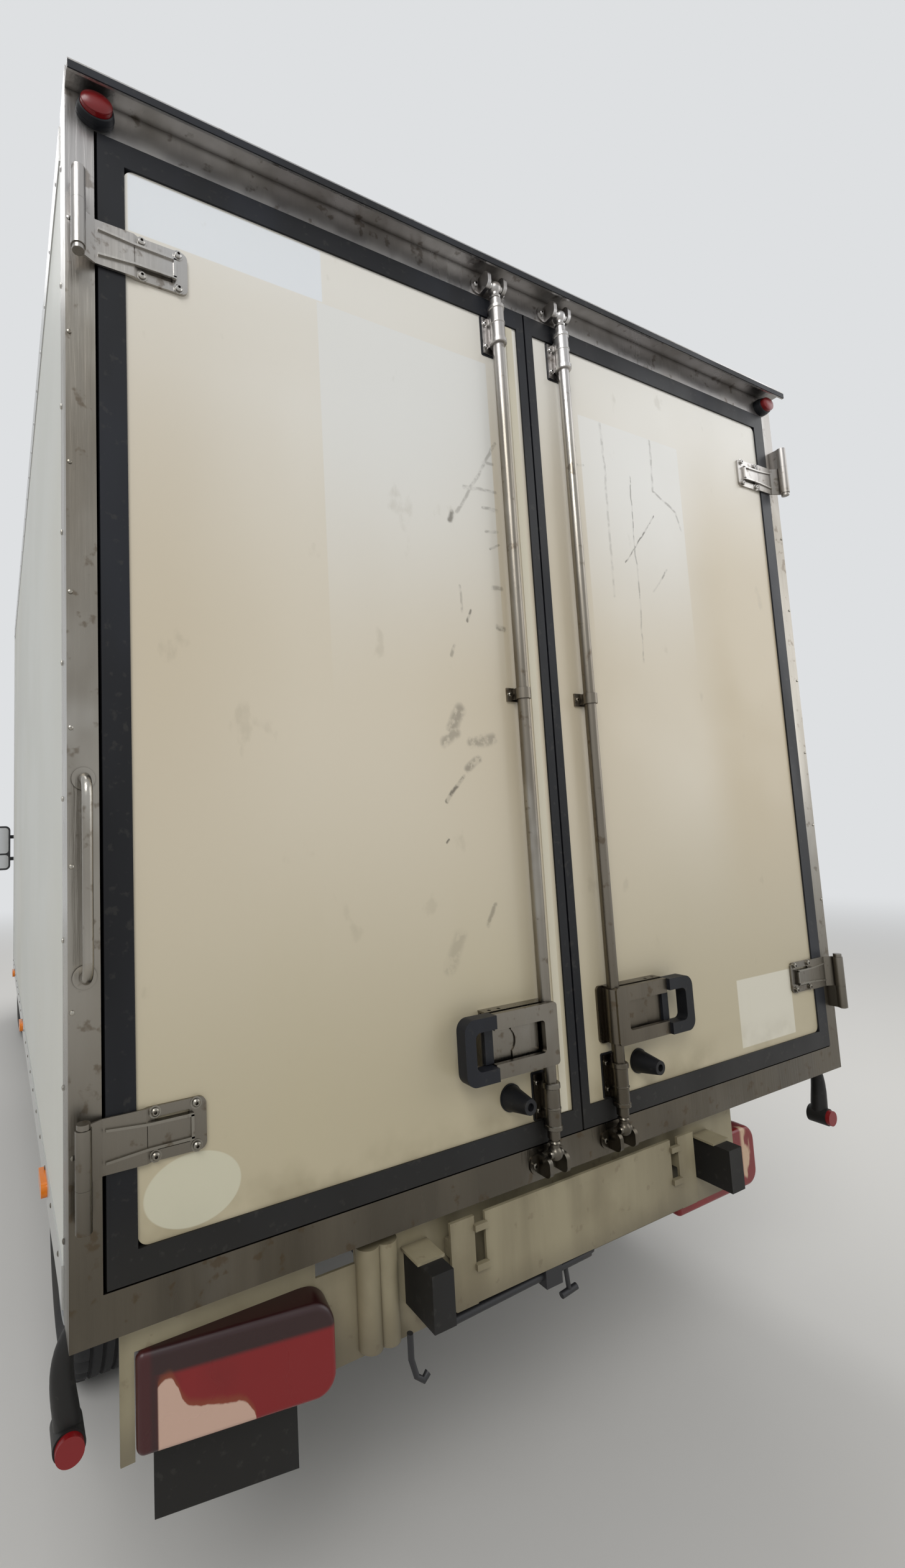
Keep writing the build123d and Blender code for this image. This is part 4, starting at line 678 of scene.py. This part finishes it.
# Rounded edges of the carried-over nodes
ROUNDINGS = (
    # width, angle from which an edge is rounded, nodes
    (0.0012, 35, "rear_frame"),
    (0.0015, 35, "rear_bumper"),
    (0.0018, 35, "rear_fittings_left rear_fittings_right"),
    (0.002, 35, "box_side_walls"),
    (0.002, 40, "grille"),
    (0.003, 35, "rear_rubber rear_lamps box_roof"),
    (0.003, 40, "cab_body cab_door_left cab_door_right front_wings headlamps"),
    (0.004, 35, "rear_door_left rear_door_right rear_door_rubber_left rear_door_rubber_right cooling_unit"),
    (0.004, 40, "bonnet front_bumper"),
    (0.008, 35, "door_mirror_left door_mirror_right"),
    (0.01, 35, "engine_block"),
)
for width, angle, names in ROUNDINGS:
    for name in names.split():
        soften(nodes[name], width, angle)

# Rear doors' ironwork: bolts, collars, rubber backing, strips and ridges
STRAP_SHEET = 0.005
STRAP_BOLT_X = (0.857, 0.923)
STRAP_BOLT_RISE = 0.033
STRAP_RIDGE = (
    # distance from the middle of the truck, distance from the strap's middle line
    (0.998, 0.0215), (0.935, 0.0165), (0.862, 0.0155), (0.862, 0.0205), (0.935, 0.0205), (0.998, 0.0255),
)
RIDGE_END_X = (0.862, 0.867)
RIDGE_END_HALF = 0.0185
RIDGE_Y = (REAR_Y - 0.0125, REAR_Y - 0.0085)
GUIDE_SHEET = 0.004
GUIDE_BOLT_AWAY = 0.0225
GUIDE_BOLT_INWARD = (0.022, 0.078)  # from the skin's end
GUIDE_REACH = (0.001, 0.099)  # from the skin's end
GUIDE_HALF = 0.033
COLLARS = (
    # inward from the skin's end, height, radius
    (-0.013, 0.01, 0.019), (0.07, 0.012, 0.0195), (0.028, 0.005, 0.0185),
)
CAM_PIN_BEYOND = 0.061  # beyond the skin's end
CAM_PIN = ((0, 0.006), (0.002, 0.0075), (0.034, 0.0075), (0.036, 0.006))
CAM_BEAD_BEYOND = 0.039
CAM_BEAD = ((-0.003, 0.0105), (0, 0.0125), (0.003, 0.0105))
# the dark strip that stands in for shade at the latch box's end
LATCH_SHADE_STRIP = ((0.258, 0.279), (REAR_Y - 0.0295, REAR_Y - 0.0228), (BASE_Z + 0.266, BASE_Z + 0.333))


def door_bolts(side, sign):
    """Bolts through the hinge straps and the lock rod's guides."""
    kit = Kit(f"door_bolts_{side}", "bright", f"rear_door_{side}")
    for level in HINGE_LEVELS:
        for bolt_x in STRAP_BOLT_X:
            for rise in (-STRAP_BOLT_RISE, STRAP_BOLT_RISE):
                kit.bolt((sign * bolt_x, REAR_Y - STRAP_SHEET, level + rise), REARWARD)
    middle_z = (SKIN_LOW.z + SKIN_HIGH.z) / 2
    spots = [(-GUIDE_BOLT_AWAY, middle_z), (GUIDE_BOLT_AWAY, middle_z)]
    for inward in GUIDE_BOLT_INWARD:
        spots += [(-GUIDE_BOLT_AWAY, SKIN_LOW.z + inward), (-GUIDE_BOLT_AWAY, SKIN_HIGH.z - inward)]
    for away, level in spots:
        kit.bolt((sign * ROD_X + away, REAR_Y - GUIDE_SHEET, level), REARWARD, 0.005, 0.005)
    kit.done()


def rod_collars(side, sign):
    """Collars on the lock rod's sleeves, and the pins and beads of its cams."""
    kit = Kit(f"rod_collars_{side}", "bright", f"rear_door_{side}")
    rod_x = sign * ROD_X
    for inward, height, radius in COLLARS:
        edge = radius * 0.9
        profile = ((0, edge), (0.0015, radius), (height - 0.0015, radius), (height, edge))
        for start in (SKIN_LOW.z + inward, SKIN_HIGH.z - inward - height):
            kit.turned((rod_x, ROD_Y, start), UP, profile, 24)
    for end_z, outward in ((SKIN_LOW.z, -1), (SKIN_HIGH.z, 1)):
        kit.turned((rod_x - 0.018, ROD_Y - 0.002, end_z + outward * CAM_PIN_BEYOND), ACROSS, CAM_PIN, 14)
        kit.turned((rod_x, ROD_Y, end_z + outward * CAM_BEAD_BEYOND), UP, CAM_BEAD, 20)
    kit.done()


def guide_backing(side, sign):
    """Rubber sheets behind the end guides."""
    kit = Kit(f"guide_backing_{side}", "rubber", f"rear_door_{side}")
    near, far = GUIDE_REACH
    for low_z, high_z in ((SKIN_LOW.z + near, SKIN_LOW.z + far), (SKIN_HIGH.z - far, SKIN_HIGH.z - near)):
        sheet = rounded((sign * ROD_X - GUIDE_HALF, low_z), (sign * ROD_X + GUIDE_HALF, high_z), 0.004)
        kit.rear_prism(sheet, (REAR_Y - 0.0015, REAR_Y + 0.001))
    kit.done()


def latch_shade_strip(side, sign):
    """Dark rubber strip between the grip and the latch box, standing in for the shade on the latch box's end.
    """
    kit = Kit(f"latch_shade_strip_{side}", "rubber", f"rear_door_{side}", bevel=0.002)
    kit.side_box(sign, *LATCH_SHADE_STRIP)
    kit.done()


def strap_ridges(side, sign):
    """The pressed ridges along each hinge strap, joined at their inner end, in the lighter metal as a painted
    highlight.
    """
    kit = Kit(f"strap_ridges_{side}", "bright", f"rear_door_{side}", bevel=0.0016)
    for level in HINGE_LEVELS:
        for rise in (-1, 1):
            kit.rear_prism([(sign * along, level + rise * out) for along, out in STRAP_RIDGE], RIDGE_Y)
        kit.side_box(sign, RIDGE_END_X, RIDGE_Y, (level - RIDGE_END_HALF, level + RIDGE_END_HALF))
    kit.done()


for side, sign in SIDES:
    door_bolts(side, sign)
    rod_collars(side, sign)
    guide_backing(side, sign)
    latch_shade_strip(side, sign)
    strap_ridges(side, sign)

edge = Kit("door_edge_profile", "cream_edge", "rear_door_left")
edge_low = (-0.0585, REAR_Y - 0.0015, SKIN_LOW.z + 0.002)
edge.box(edge_low, (-0.0385, REAR_Y + 0.002, SKIN_HIGH.z - 0.002))
edge.done()

# Rear frame: keeper bolts, hinge pins' heads, top marker lamps, rivets and the drip rail's rubber band
KEEPER_LEVELS = (BASE_Z + 0.033, BASE_Z + 2.0075)
KEEPER_BOLT_AWAY = 0.041
PIN_END = 0.1013  # pin's end from the hinge's level
MARKER_X = BOX_HALF - 0.05
MARKER_Z = BASE_Z + 2.012
# The marker lamps' ovals: half width, half height, distance behind the frame
MARKER_SKIRT = (
    (0.033, 0.025, 0.0005), (0.0328, 0.0248, 0.009), (0.0302, 0.0226, 0.0175), (0.0278, 0.0208, 0.019),
    (0.0274, 0.0204, 0.012),
)
MARKER_DOME = (
    (0.0268, 0.0198, 0.025), (0.0262, 0.0193, 0.0275), (0.0215, 0.0158, 0.0302), (0.011, 0.008, 0.0318),
    (0.001, 0.0008, 0.0321),
)
POST_RIVETS = (0.27, 0.48, 0.7, 0.918, 1.14, 1.361, 1.591, 1.8)  # above the frame's underside


def oval(x, y, z, half_x, half_z):
    """A ring of points in a plane across the truck."""
    return [(x + half_x * math.cos(turn), y, z + half_z * math.sin(turn)) for turn in turns(32)]


def marker_part(name, paint, sections):
    """One part of both marker lamps, from its ovals."""
    kit = Kit(name, paint)
    for _, sign in SIDES:
        kit.ring_mesh([oval(sign * MARKER_X, REAR_Y - behind, MARKER_Z, half_x, half_z)
                       for half_x, half_z, behind in sections])
    kit.done()


bolts = Kit("keeper_bolts", "bright")
pins = Kit("keeper_pins", "bright")
rivets = Kit("post_rivets", "bright")
for _, sign in SIDES:
    for keeper_z in KEEPER_LEVELS:
        for away in (-KEEPER_BOLT_AWAY, KEEPER_BOLT_AWAY):
            bolts.bolt((sign * ROD_X + away, REAR_Y - 0.003, keeper_z), REARWARD, 0.006, 0.006)
    for level, way in zip(HINGE_LEVELS, (-1, 1)):
        pin_head = ((-0.001, 0.009), (0.0015, 0.009), (0.003, 0.006))
        pins.turned((sign * PIN_X, PIN_Y, level + way * PIN_END), UP * way, pin_head, 18)
    for rise in POST_RIVETS:
        rivets.rivet((sign * (BOX_HALF - 0.006), REAR_Y - 0.0005, BASE_Z + rise), REARWARD, 0.004)
    for step in range(9):
        rivets.rivet((sign * (BOX_HALF + 0.0005), REAR_Y + 0.07, BASE_Z + 0.12 + step * 0.23), ACROSS * sign)
bolts.done()
pins.done()
marker_part("marker_skirts", "rubber", MARKER_SKIRT)
marker_part("marker_domes", "red_lens", MARKER_DOME)
rivets.done()
band = Kit("drip_rail_band", "rubber")
band.box((-BOX_HALF, REAR_Y - 0.0468, DRIP_TOP - 0.0195), (BOX_HALF, REAR_Y - 0.0445, DRIP_TOP - 0.005))
band.done()

# Bar with its hook and tee under the centre panel
BAR_Y = REAR_Y + 0.016


def below(x, drop, behind=0.0):
    """A point under the rear frame, from the bar's line."""
    return (x, BAR_Y - behind, BASE_Z - drop)


bar = Kit("under_bar", "frame_paint", bevel=0.001)
bar.rod(below(-0.372, 0.203), below(0.01, 0.193), 0.008)
bar.box(below(-0.13, 0.216, 0.014), below(-0.085, 0.18, -0.014))
bar.tube([below(0.006, 0.193), below(0.018, 0.19), below(0.024, 0.18), below(0.02, 0.17)], 0.006)
bar.rod(below(-0.062, 0.196), below(-0.055, 0.25), 0.005)
bar.rod(below(-0.078, 0.252), below(-0.034, 0.247), 0.0065)
bar.tube([below(-0.458, 0.19), below(-0.458, 0.235), below(-0.452, 0.262, 0.006),
          below(-0.44, 0.27, 0.01), below(-0.428, 0.262, 0.008)], 0.006)
bar.done()

# Box body: corner trims, rivets and side marker lamps
TRIM_X = (BOX_HALF - 0.001, BOX_HALF + 0.0025)
TRIM_Y = (REAR_Y + 0.087, BOX_FRONT_Y)
ROOF_TRIM_Z = (ROOF_Z - 0.095, ROOF_Z - 0.024)
FLOOR_TRIM_Z = (BASE_Z + 0.01, BASE_Z + 0.075)
TRIM_RIVETS = 20
TRIM_RIVET_PITCH = 0.16
SIDE_MARKER_X = (BOX_HALF - 0.001, BOX_HALF + 0.014)
SIDE_MARKER_HALF = 0.045
MARKER_FOOT, MARKER_TOP = BASE_Z + 0.026, BASE_Z + 0.056
trim = Kit("box_trims", "aluminium", bevel=0.002)
studs = Kit("trim_rivets", "bright")
markers = Kit("side_markers", "amber")
for _, sign in SIDES:
    trim.side_box(sign, TRIM_X, TRIM_Y, ROOF_TRIM_Z)
    trim.side_box(sign, TRIM_X, TRIM_Y, FLOOR_TRIM_Z)
    trim.side_box(sign, TRIM_X, (BOX_FRONT_Y - 0.055, BOX_FRONT_Y), (FLOOR_TRIM_Z[1], ROOF_TRIM_Z[0]))
    for step in range(TRIM_RIVETS):
        rivet_y = REAR_Y + 0.15 + step * TRIM_RIVET_PITCH
        for rivet_z in (ROOF_Z - 0.08, BASE_Z + 0.06):
            studs.rivet((sign * (BOX_HALF + 0.002), rivet_y, rivet_z), ACROSS * sign)
    for marker_y in (REAR_Y + 0.45, REAR_Y + 1.75, BOX_FRONT_Y - 0.35):
        y_low, y_high = marker_y - SIDE_MARKER_HALF, marker_y + SIDE_MARKER_HALF
        lens = rounded((y_low, MARKER_FOOT), (y_high, MARKER_TOP), 0.012)
        markers.prism(lens, mirrored(sign, SIDE_MARKER_X))
trim.box((-BOX_HALF, BOX_FRONT_Y - 0.001, ROOF_TRIM_Z[0]), (BOX_HALF, BOX_FRONT_Y + 0.0025, ROOF_TRIM_Z[1]))
trim.done()
studs.done()
markers.done()

# Wheels: treaded tyres, caps, nuts and valves
TREAD_PROFILE = (
    # outboard of the middle, radius from the tread's face
    (-0.08, -0.14), (-0.088, -0.135), (-0.096, -0.118), (-0.1055, -0.092), (-0.1075, -0.07),
    (-0.1045, -0.046), (-0.098, -0.026), (-0.09, -0.012), (-0.08, -0.004), (-0.07, -0.0012),
    (-0.053, 0), (-0.05, -0.008), (-0.044, -0.008), (-0.041, 0),
    (-0.021, 0), (-0.018, -0.008), (-0.012, -0.008), (-0.009, 0),
)
TREAD_STEPS = 144
STEPS_TO_A_CUT = 4
CUT_DEPTH = 0.006
SHOULDER = (0.053, 0.092)
HUB_FACE = 0.064  # outboard of the tyre's middle
HUB_CAP = ((0, 0.046), (0.024, 0.044), (0.036, 0.036), (0.04, 0.02), (0.0405, 0.001))
NUT_COUNT = 5
NUT_CIRCLE = 0.075
NUT = ((0, 0.0125), (0.013, 0.0125), (0.018, 0.008))


def tyre_piece(end, side, sign, along):
    """A tyre with grooves round it and cuts across its shoulders."""
    kit = Kit(f"tyre_tread_{end}_{side}", "tyre", f"wheel_{end}_{side}")
    profile = list(TREAD_PROFILE) + [(-outboard, drop) for outboard, drop in reversed(TREAD_PROFILE)]
    rings = []
    for step, turn in enumerate(turns(TREAD_STEPS)):
        ring = []
        for outboard, drop in profile:
            cut = step % STEPS_TO_A_CUT == 0 and SHOULDER[0] <= abs(outboard) <= SHOULDER[1]
            radius = TYRE_RADIUS + drop - (CUT_DEPTH if cut else 0)
            height = TYRE_RADIUS + radius * math.sin(turn)
            ring.append((sign * TRACK_HALF + outboard, along + radius * math.cos(turn), height))
        rings.append(ring)
    kit.ring_mesh(rings, closed=True)
    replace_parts(kit.done(), f"tyre_{end}_{side}")


def wheel_fittings(end, side, sign, along):
    """The hub's cap, the wheel nuts and the tyre's valve."""
    body = f"wheel_{end}_{side}"
    outward = ACROSS * sign
    hub = Vector((sign * TRACK_HALF, along, TYRE_RADIUS))
    cap = Kit(f"hub_cap_{end}_{side}", "black_plastic", body)
    cap.turned(hub + outward * HUB_FACE, outward, HUB_CAP, 28)
    cap.done()
    nuts = Kit(f"wheel_nuts_{end}_{side}", "chrome", body, slot="wheel_paint", smooth=False)
    for turn in turns(NUT_COUNT):
        away = Vector((0, math.cos(turn), math.sin(turn))) * NUT_CIRCLE
        nuts.turned(hub + outward * HUB_FACE + away, outward, NUT, 6)
    valve_foot = hub + outward * 0.07 + Vector((0, 0.178, 0))
    nuts.rod(valve_foot, hub + outward * 0.098 + Vector((0, 0.166, 0)), 0.004, 8)
    nuts.done()


for end, along in (("front", FRONT_AXLE_Y), ("rear", REAR_AXLE_Y)):
    for side, sign in SIDES:
        tyre_piece(end, side, sign, along)
        wheel_fittings(end, side, sign, along)

# Cab doors: handles, rubbing strips and mirror glasses
DOOR_LOW, DOOR_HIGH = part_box("cab_door_left")
CAB_SKIN_X = 0.996
HANDLE_Y = DOOR_LOW.y + 0.1
MIRROR_GLASS_X = (1.063, 1.187)
for side, sign in SIDES:
    door = f"cab_door_{side}"
    handle = Kit(f"door_handle_{side}", "black_plastic", door, bevel=0.003)
    recess = rounded((HANDLE_Y, 1.235), (HANDLE_Y + 0.19, 1.3), 0.02)
    lever = rounded((HANDLE_Y + 0.012, 1.256), (HANDLE_Y + 0.178, 1.284), 0.012)
    handle.prism(recess, mirrored(sign, (CAB_SKIN_X - 0.008, CAB_SKIN_X + 0.002)))
    handle.prism(lever, mirrored(sign, (CAB_SKIN_X + 0.002, CAB_SKIN_X + 0.022)))
    handle.done()
    strip = Kit(f"door_strip_{side}", "black_plastic", door, bevel=0.003)
    outline = rounded((DOOR_LOW.y + 0.05, 0.86), (DOOR_HIGH.y - 0.16, 0.93), 0.015)
    strip.prism(outline, mirrored(sign, (CAB_SKIN_X - 0.008, CAB_SKIN_X + 0.008)))
    strip.done()
    low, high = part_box(f"door_mirror_{side}")
    pane_low, pane_high = mirrored(sign, MIRROR_GLASS_X)
    upper = (low.z + 0.125, high.z - 0.014)
    lower = (low.z + 0.014, low.z + 0.112)
    glass = Kit(f"mirror_glass_{side}", "chrome", door)
    for foot, top in (upper, lower):
        pane = rounded((pane_low, foot), (pane_high, top), 0.022)
        glass.rear_prism(pane, (low.y - 0.0015, low.y + 0.002))
    glass.done()

# Windscreen: wipers and rubber seal, on the slope of the glass
GLASS_FOOT = Vector((0, FRONT_AXLE_Y + 0.17, 1.33))
GLASS_UP = Vector((0, -0.73, 0.92)).normalized()
GLASS_OUT = Vector((0, 0.92, 0.73)).normalized()
SEAL_CORNER = 0.064
SEAL_CORNERS = (
    # middle across and up the glass, angle at which the corner starts
    (0.8, 0.145, -90), (0.65, 0.9545, 0), (-0.65, 0.9545, 90), (-0.8, 0.145, 180),
)
WIPER_PIVOT = ((0, 0.016), (0.02, 0.014), (0.024, 0.008))
SEAL_SECTION = ((-0.009, -0.004), (0.007, -0.004), (0.007, 0.003), (-0.009, 0.003))


def on_glass(across, rise, out):
    """A point by its distance across, up and off the slope of the windscreen."""
    return GLASS_FOOT + ACROSS * across + GLASS_UP * rise + GLASS_OUT * out


wipers = Kit("wipers", "black_plastic", bevel=0.001)
for pivot_x, tip_x in ((-0.1, -0.74), (0.52, -0.1)):
    middle_x = (pivot_x + tip_x) / 2
    wipers.turned(on_glass(pivot_x, 0.02, -0.004), GLASS_OUT, WIPER_PIVOT, 16)
    arm_bend = on_glass((pivot_x * 2 + tip_x) / 3, 0.07, 0.02)
    wipers.tube([on_glass(pivot_x, 0.02, 0.014), arm_bend, on_glass(middle_x, 0.1, 0.012)], 0.005)
    blade_start, blade_end = on_glass(pivot_x - 0.03, 0.088, 0.0), on_glass(tip_x, 0.12, 0.0)
    wipers.tube([blade_start, on_glass(middle_x, 0.1, 0.004), blade_end], 0.006)
wipers.done()
line = []
for across, rise, start in SEAL_CORNERS:
    corner = arc((across, rise), SEAL_CORNER, start, start + 90, 8)
    line += [on_glass(*spot, -0.005) for spot in corner]
rings = []
for place, point in enumerate(line):
    along = (line[(place + 1) % len(line)] - line[place - 1]).normalized()
    inward = GLASS_OUT.cross(along)
    rings.append([point + inward * a + GLASS_OUT * b for a, b in SEAL_SECTION])
seal = Kit("windscreen_seal", "rubber")
seal.ring_mesh(rings, closed=True)
seal.done()


def cab(x, ahead, z):
    """A point in the cab, with its distance ahead of the front axle."""
    return (x, FRONT_AXLE_Y + ahead, z)


# Radiator behind the grille
FIN_COUNT = 26
FIN_PITCH = 0.0312
radiator = Kit("radiator", "dark", smooth=False)
radiator.box(cab(-0.4, 0.615, 0.62), cab(0.4, 0.645, 0.93))
for step in range(FIN_COUNT):
    fin_x = -0.39 + step * FIN_PITCH
    radiator.box(cab(fin_x - 0.002, 0.645, 0.63), cab(fin_x + 0.002, 0.655, 0.925))
radiator.done()

# Dashboard: hood and dials over the column, centre panel, gear lever, pedals and air vents
WHEEL_X = -0.43
HOOD_HALF = 0.19
HOOD = (
    # ahead of the axle, height
    (-0.215, 1.2), (-0.225, 1.285), (-0.205, 1.305), (-0.02, 1.285), (0, 1.25),
)
KNOB = ((-0.005, 0.016), (0.012, 0.026), (0.04, 0.026), (0.052, 0.014))
DIAL = ((0, 0.038), (0.012, 0.038), (0.013, 0.034), (0.01, 0.033))
PEDALS = ((-0.56, 0.035), (-0.44, 0.04), (-0.31, 0.025))  # middle, half width
dash = Kit("dash_details", "black_plastic", bevel=0.004)
dash.prism([(FRONT_AXLE_Y + ahead, z) for ahead, z in HOOD], (WHEEL_X - HOOD_HALF, WHEEL_X + HOOD_HALF))
dash.box(cab(-0.06, -0.245, 0.8), cab(0.22, -0.1, 1.2))
dash.rod(cab(0.08, -0.235, 1.02), cab(0.08, -0.32, 1.13), 0.012)
dash.turned(cab(0.08, -0.312, 1.12), (0, -0.6, 0.8), KNOB, 18)
for pedal_x, half in PEDALS:
    dash.box(cab(pedal_x - 0.006, -0.045, 0.74), cab(pedal_x + 0.006, -0.025, 0.91))
    dash.box(cab(pedal_x - half, -0.068, 0.715), cab(pedal_x + half, -0.045, 0.775))
dash.done()
dials = Kit("dials", "dark")
for dial_x in (-0.09, 0.0, 0.09):
    dials.turned(cab(WHEEL_X + dial_x, -0.212, 1.245), REARWARD, DIAL, 24)
for vent_x in (-0.8, -0.02, 0.18, 0.8):
    for slat in range(4):
        slat_z = 1.155 - slat * 0.016
        slat_low = cab(vent_x - 0.06, -0.222 - slat * 0.003, slat_z)
        dials.box(slat_low, cab(vent_x + 0.06, -0.2, slat_z + 0.01))
dials.box(cab(-0.03, -0.248, 1.01), cab(0.19, -0.2455, 1.09))
dials.done()

# Seats: plinths with padded cushions, backs and headrests
SEAT_CELLS = 18
SEATS = (
    # name, middle, width
    ("driver", -0.46, 0.5), ("middle", 0.125, 0.44), ("passenger", 0.575, 0.44),
)
CHANNEL_DEPTH = 0.007
CHANNEL_HALF = 0.045  # as a part of the cushion's half length
SIDE_SEAM_AT = 0.72  # as a part of the cushion's half width
SIDE_SEAM_DEPTH = 0.004


def padded_point(cell, size, crown, channels):
    """A cushion's point from a corner of a cell on a cube: rounded, crowned and sewn."""
    flat = [2 * k / SEAT_CELLS - 1 for k in cell]
    reach = sum(abs(k) ** 5 for k in flat) ** 0.2
    a, b, c = [k * max(abs(j) for j in flat) / reach for k in flat]
    puff = crown * (1 - a * a) * (1 - b * b) * (1 if c > 0 else 0.2)
    for line in channels:
        puff -= CHANNEL_DEPTH * math.exp(-((b - line) / CHANNEL_HALF) ** 2) * max(0.0, 1 - abs(a) ** 6)
    if channels:
        puff -= SIDE_SEAM_DEPTH * math.exp(-((abs(a) - SIDE_SEAM_AT) / 0.04) ** 2)
    return Vector((a * size[0] / 2, b * size[1] / 2, c * size[2] / 2 + (puff if c > 0 else -puff * 0.3)))


def cushion(name, centre, size, lean, crown, channels=()):
    """A rounded box, crowned on its upper face, with sewn channels across it."""
    kit = Kit(name, "seat_fabric")
    points = {}
    tilt = Matrix.Rotation(math.radians(lean), 3, "X")

    def vertex(cell):
        if cell not in points:
            point = Vector(centre) + tilt @ padded_point(cell, size, crown, channels)
            points[cell] = kit.mesh.verts.new(point)
        return points[cell]

    for axis in range(3):
        for end in (0, SEAT_CELLS):
            for place in range(SEAT_CELLS ** 2):
                i, j = divmod(place, SEAT_CELLS)
                corners = []
                for di, dj in ((0, 0), (1, 0), (1, 1), (0, 1)):
                    cell = [i + di, j + dj]
                    cell.insert(axis, end)
                    corners.append(vertex(tuple(cell)))
                kit.mesh.faces.new(corners)
    kit.done()


plinths = Kit("seat_plinths", "black_plastic", bevel=0.01)
plinths.box(cab(-0.69, -1.13, 0.62), cab(-0.23, -0.66, 0.855))
plinths.box(cab(-0.08, -1.13, 0.62), cab(0.78, -0.66, 0.855))
for _, seat_x, _ in SEATS:
    for stalk_x in (seat_x - 0.055, seat_x + 0.055):
        plinths.rod(cab(stalk_x, -1.262, 1.5), cab(stalk_x, -1.278, 1.64), 0.006)
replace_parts(plinths.done(), "seats")
for name, seat_x, width in SEATS:
    base_size, back_size = (width - 0.01, 0.5, 0.115), (width - 0.02, 0.64, 0.115)
    cushion(f"seat_cushion_{name}", cab(seat_x, -0.872, 0.895), base_size, 3, 0.016, (-0.45, 0.05, 0.5))
    cushion(f"seat_back_{name}", cab(seat_x, -1.205, 1.245), back_size, 99, 0.014, (-0.5, 0.0, 0.45))
    cushion(f"seat_headrest_{name}", cab(seat_x, -1.285, 1.655), (0.26, 0.17, 0.085), 96, 0.008)

# Load space: kick strips, floor covering and air cooler with its fans
LOAD_HALF = BOX_HALF - 0.06
KICK_SHEET = 0.003
KICK_Z = (0.856, 1.06)
COOLER_HALF = 0.62
COOLER = ((0.061, 2.52), (0.42, 2.64), (0.42, 2.785), (0.061, 2.785))  # behind the box's front, height
FAN_Z = 2.712
FAN_RING = ((0, 0.004), (0.01, 0.002), (0.01, -0.002), (0.006, -0.004))
kick = Kit("load_kick_strips", "aluminium", bevel=0.001)
for _, sign in SIDES:
    kick.side_box(sign, (LOAD_HALF - KICK_SHEET, LOAD_HALF), (REAR_Y + 0.09, BOX_FRONT_Y - 0.061), KICK_Z)
kick_half = LOAD_HALF - KICK_SHEET
kick.box((-kick_half, BOX_FRONT_Y - 0.063, KICK_Z[0]), (kick_half, BOX_FRONT_Y - 0.06, KICK_Z[1]))
kick.done()
cover = Kit("load_floor_covering", "load_floor")
cover_half = LOAD_HALF - 0.0035
cover.box((-cover_half, REAR_Y + 0.086, 0.8545), (cover_half, BOX_FRONT_Y - 0.064, 0.858))
cover.done()
cooler = Kit("air_cooler", "unit_plastic", bevel=0.01)
cooler.prism([(BOX_FRONT_Y - behind, z) for behind, z in COOLER], (-COOLER_HALF, COOLER_HALF))
cooler.done()
fans = Kit("cooler_fans", "dark")
for fan_x in (-0.36, 0.0, 0.36):
    for radius in (0.055, 0.03, 0.012):
        section = [(along, radius + out) for along, out in FAN_RING]
        fans.turned((fan_x, BOX_FRONT_Y - 0.415, FAN_Z), REARWARD, section, 28)
fans.done()

# Cooling unit: side grilles and the seam under its cover
UNIT_LOW, UNIT_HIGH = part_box("cooling_unit")
SLAT_X = (UNIT_HIGH.x - 0.002, UNIT_HIGH.x + 0.004)
SLAT_Y = (UNIT_LOW.y + 0.06, UNIT_LOW.y + 0.24)
SLAT_COUNT = 8
SLAT_PITCH = 0.026
SLAT_HEIGHT = 0.012
slats = Kit("unit_trim", "black_plastic", bevel=0.002)
for _, sign in SIDES:
    for slat in range(SLAT_COUNT):
        slat_z = UNIT_LOW.z + 0.12 + slat * SLAT_PITCH
        slats.side_box(sign, SLAT_X, SLAT_Y, (slat_z, slat_z + SLAT_HEIGHT))
slats.box((-UNIT_HIGH.x - 0.002, UNIT_LOW.y, UNIT_LOW.z + 0.085),
          (UNIT_HIGH.x + 0.002, UNIT_LOW.y + 0.275, UNIT_LOW.z + 0.093))
slats.done()

# Tank: straps and filler cap
TANK_LOW, TANK_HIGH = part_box("fuel_tank")
STRAP_HALF = 0.02
CAP_PLACE = (TANK_LOW.x + 0.006, (TANK_LOW.y + TANK_HIGH.y) / 2 + 0.18, TANK_HIGH.z - 0.11)
tank = Kit("tank_straps", "frame_paint", bevel=0.001)
for strap_y in (TANK_LOW.y + 0.16, TANK_HIGH.y - 0.16):
    y_low, y_high = strap_y - STRAP_HALF, strap_y + STRAP_HALF
    tank.box((TANK_LOW.x - 0.003, y_low, TANK_LOW.z + 0.05), (TANK_LOW.x + 0.001, y_high, TANK_HIGH.z - 0.05))
    tank.box((TANK_LOW.x + 0.05, y_low, TANK_LOW.z - 0.003), (TANK_HIGH.x - 0.05, y_high, TANK_LOW.z + 0.001))
tank.turned(CAP_PLACE, -ACROSS, ((0, 0.045), (0.022, 0.042), (0.026, 0.034)), 28)
tank.done()
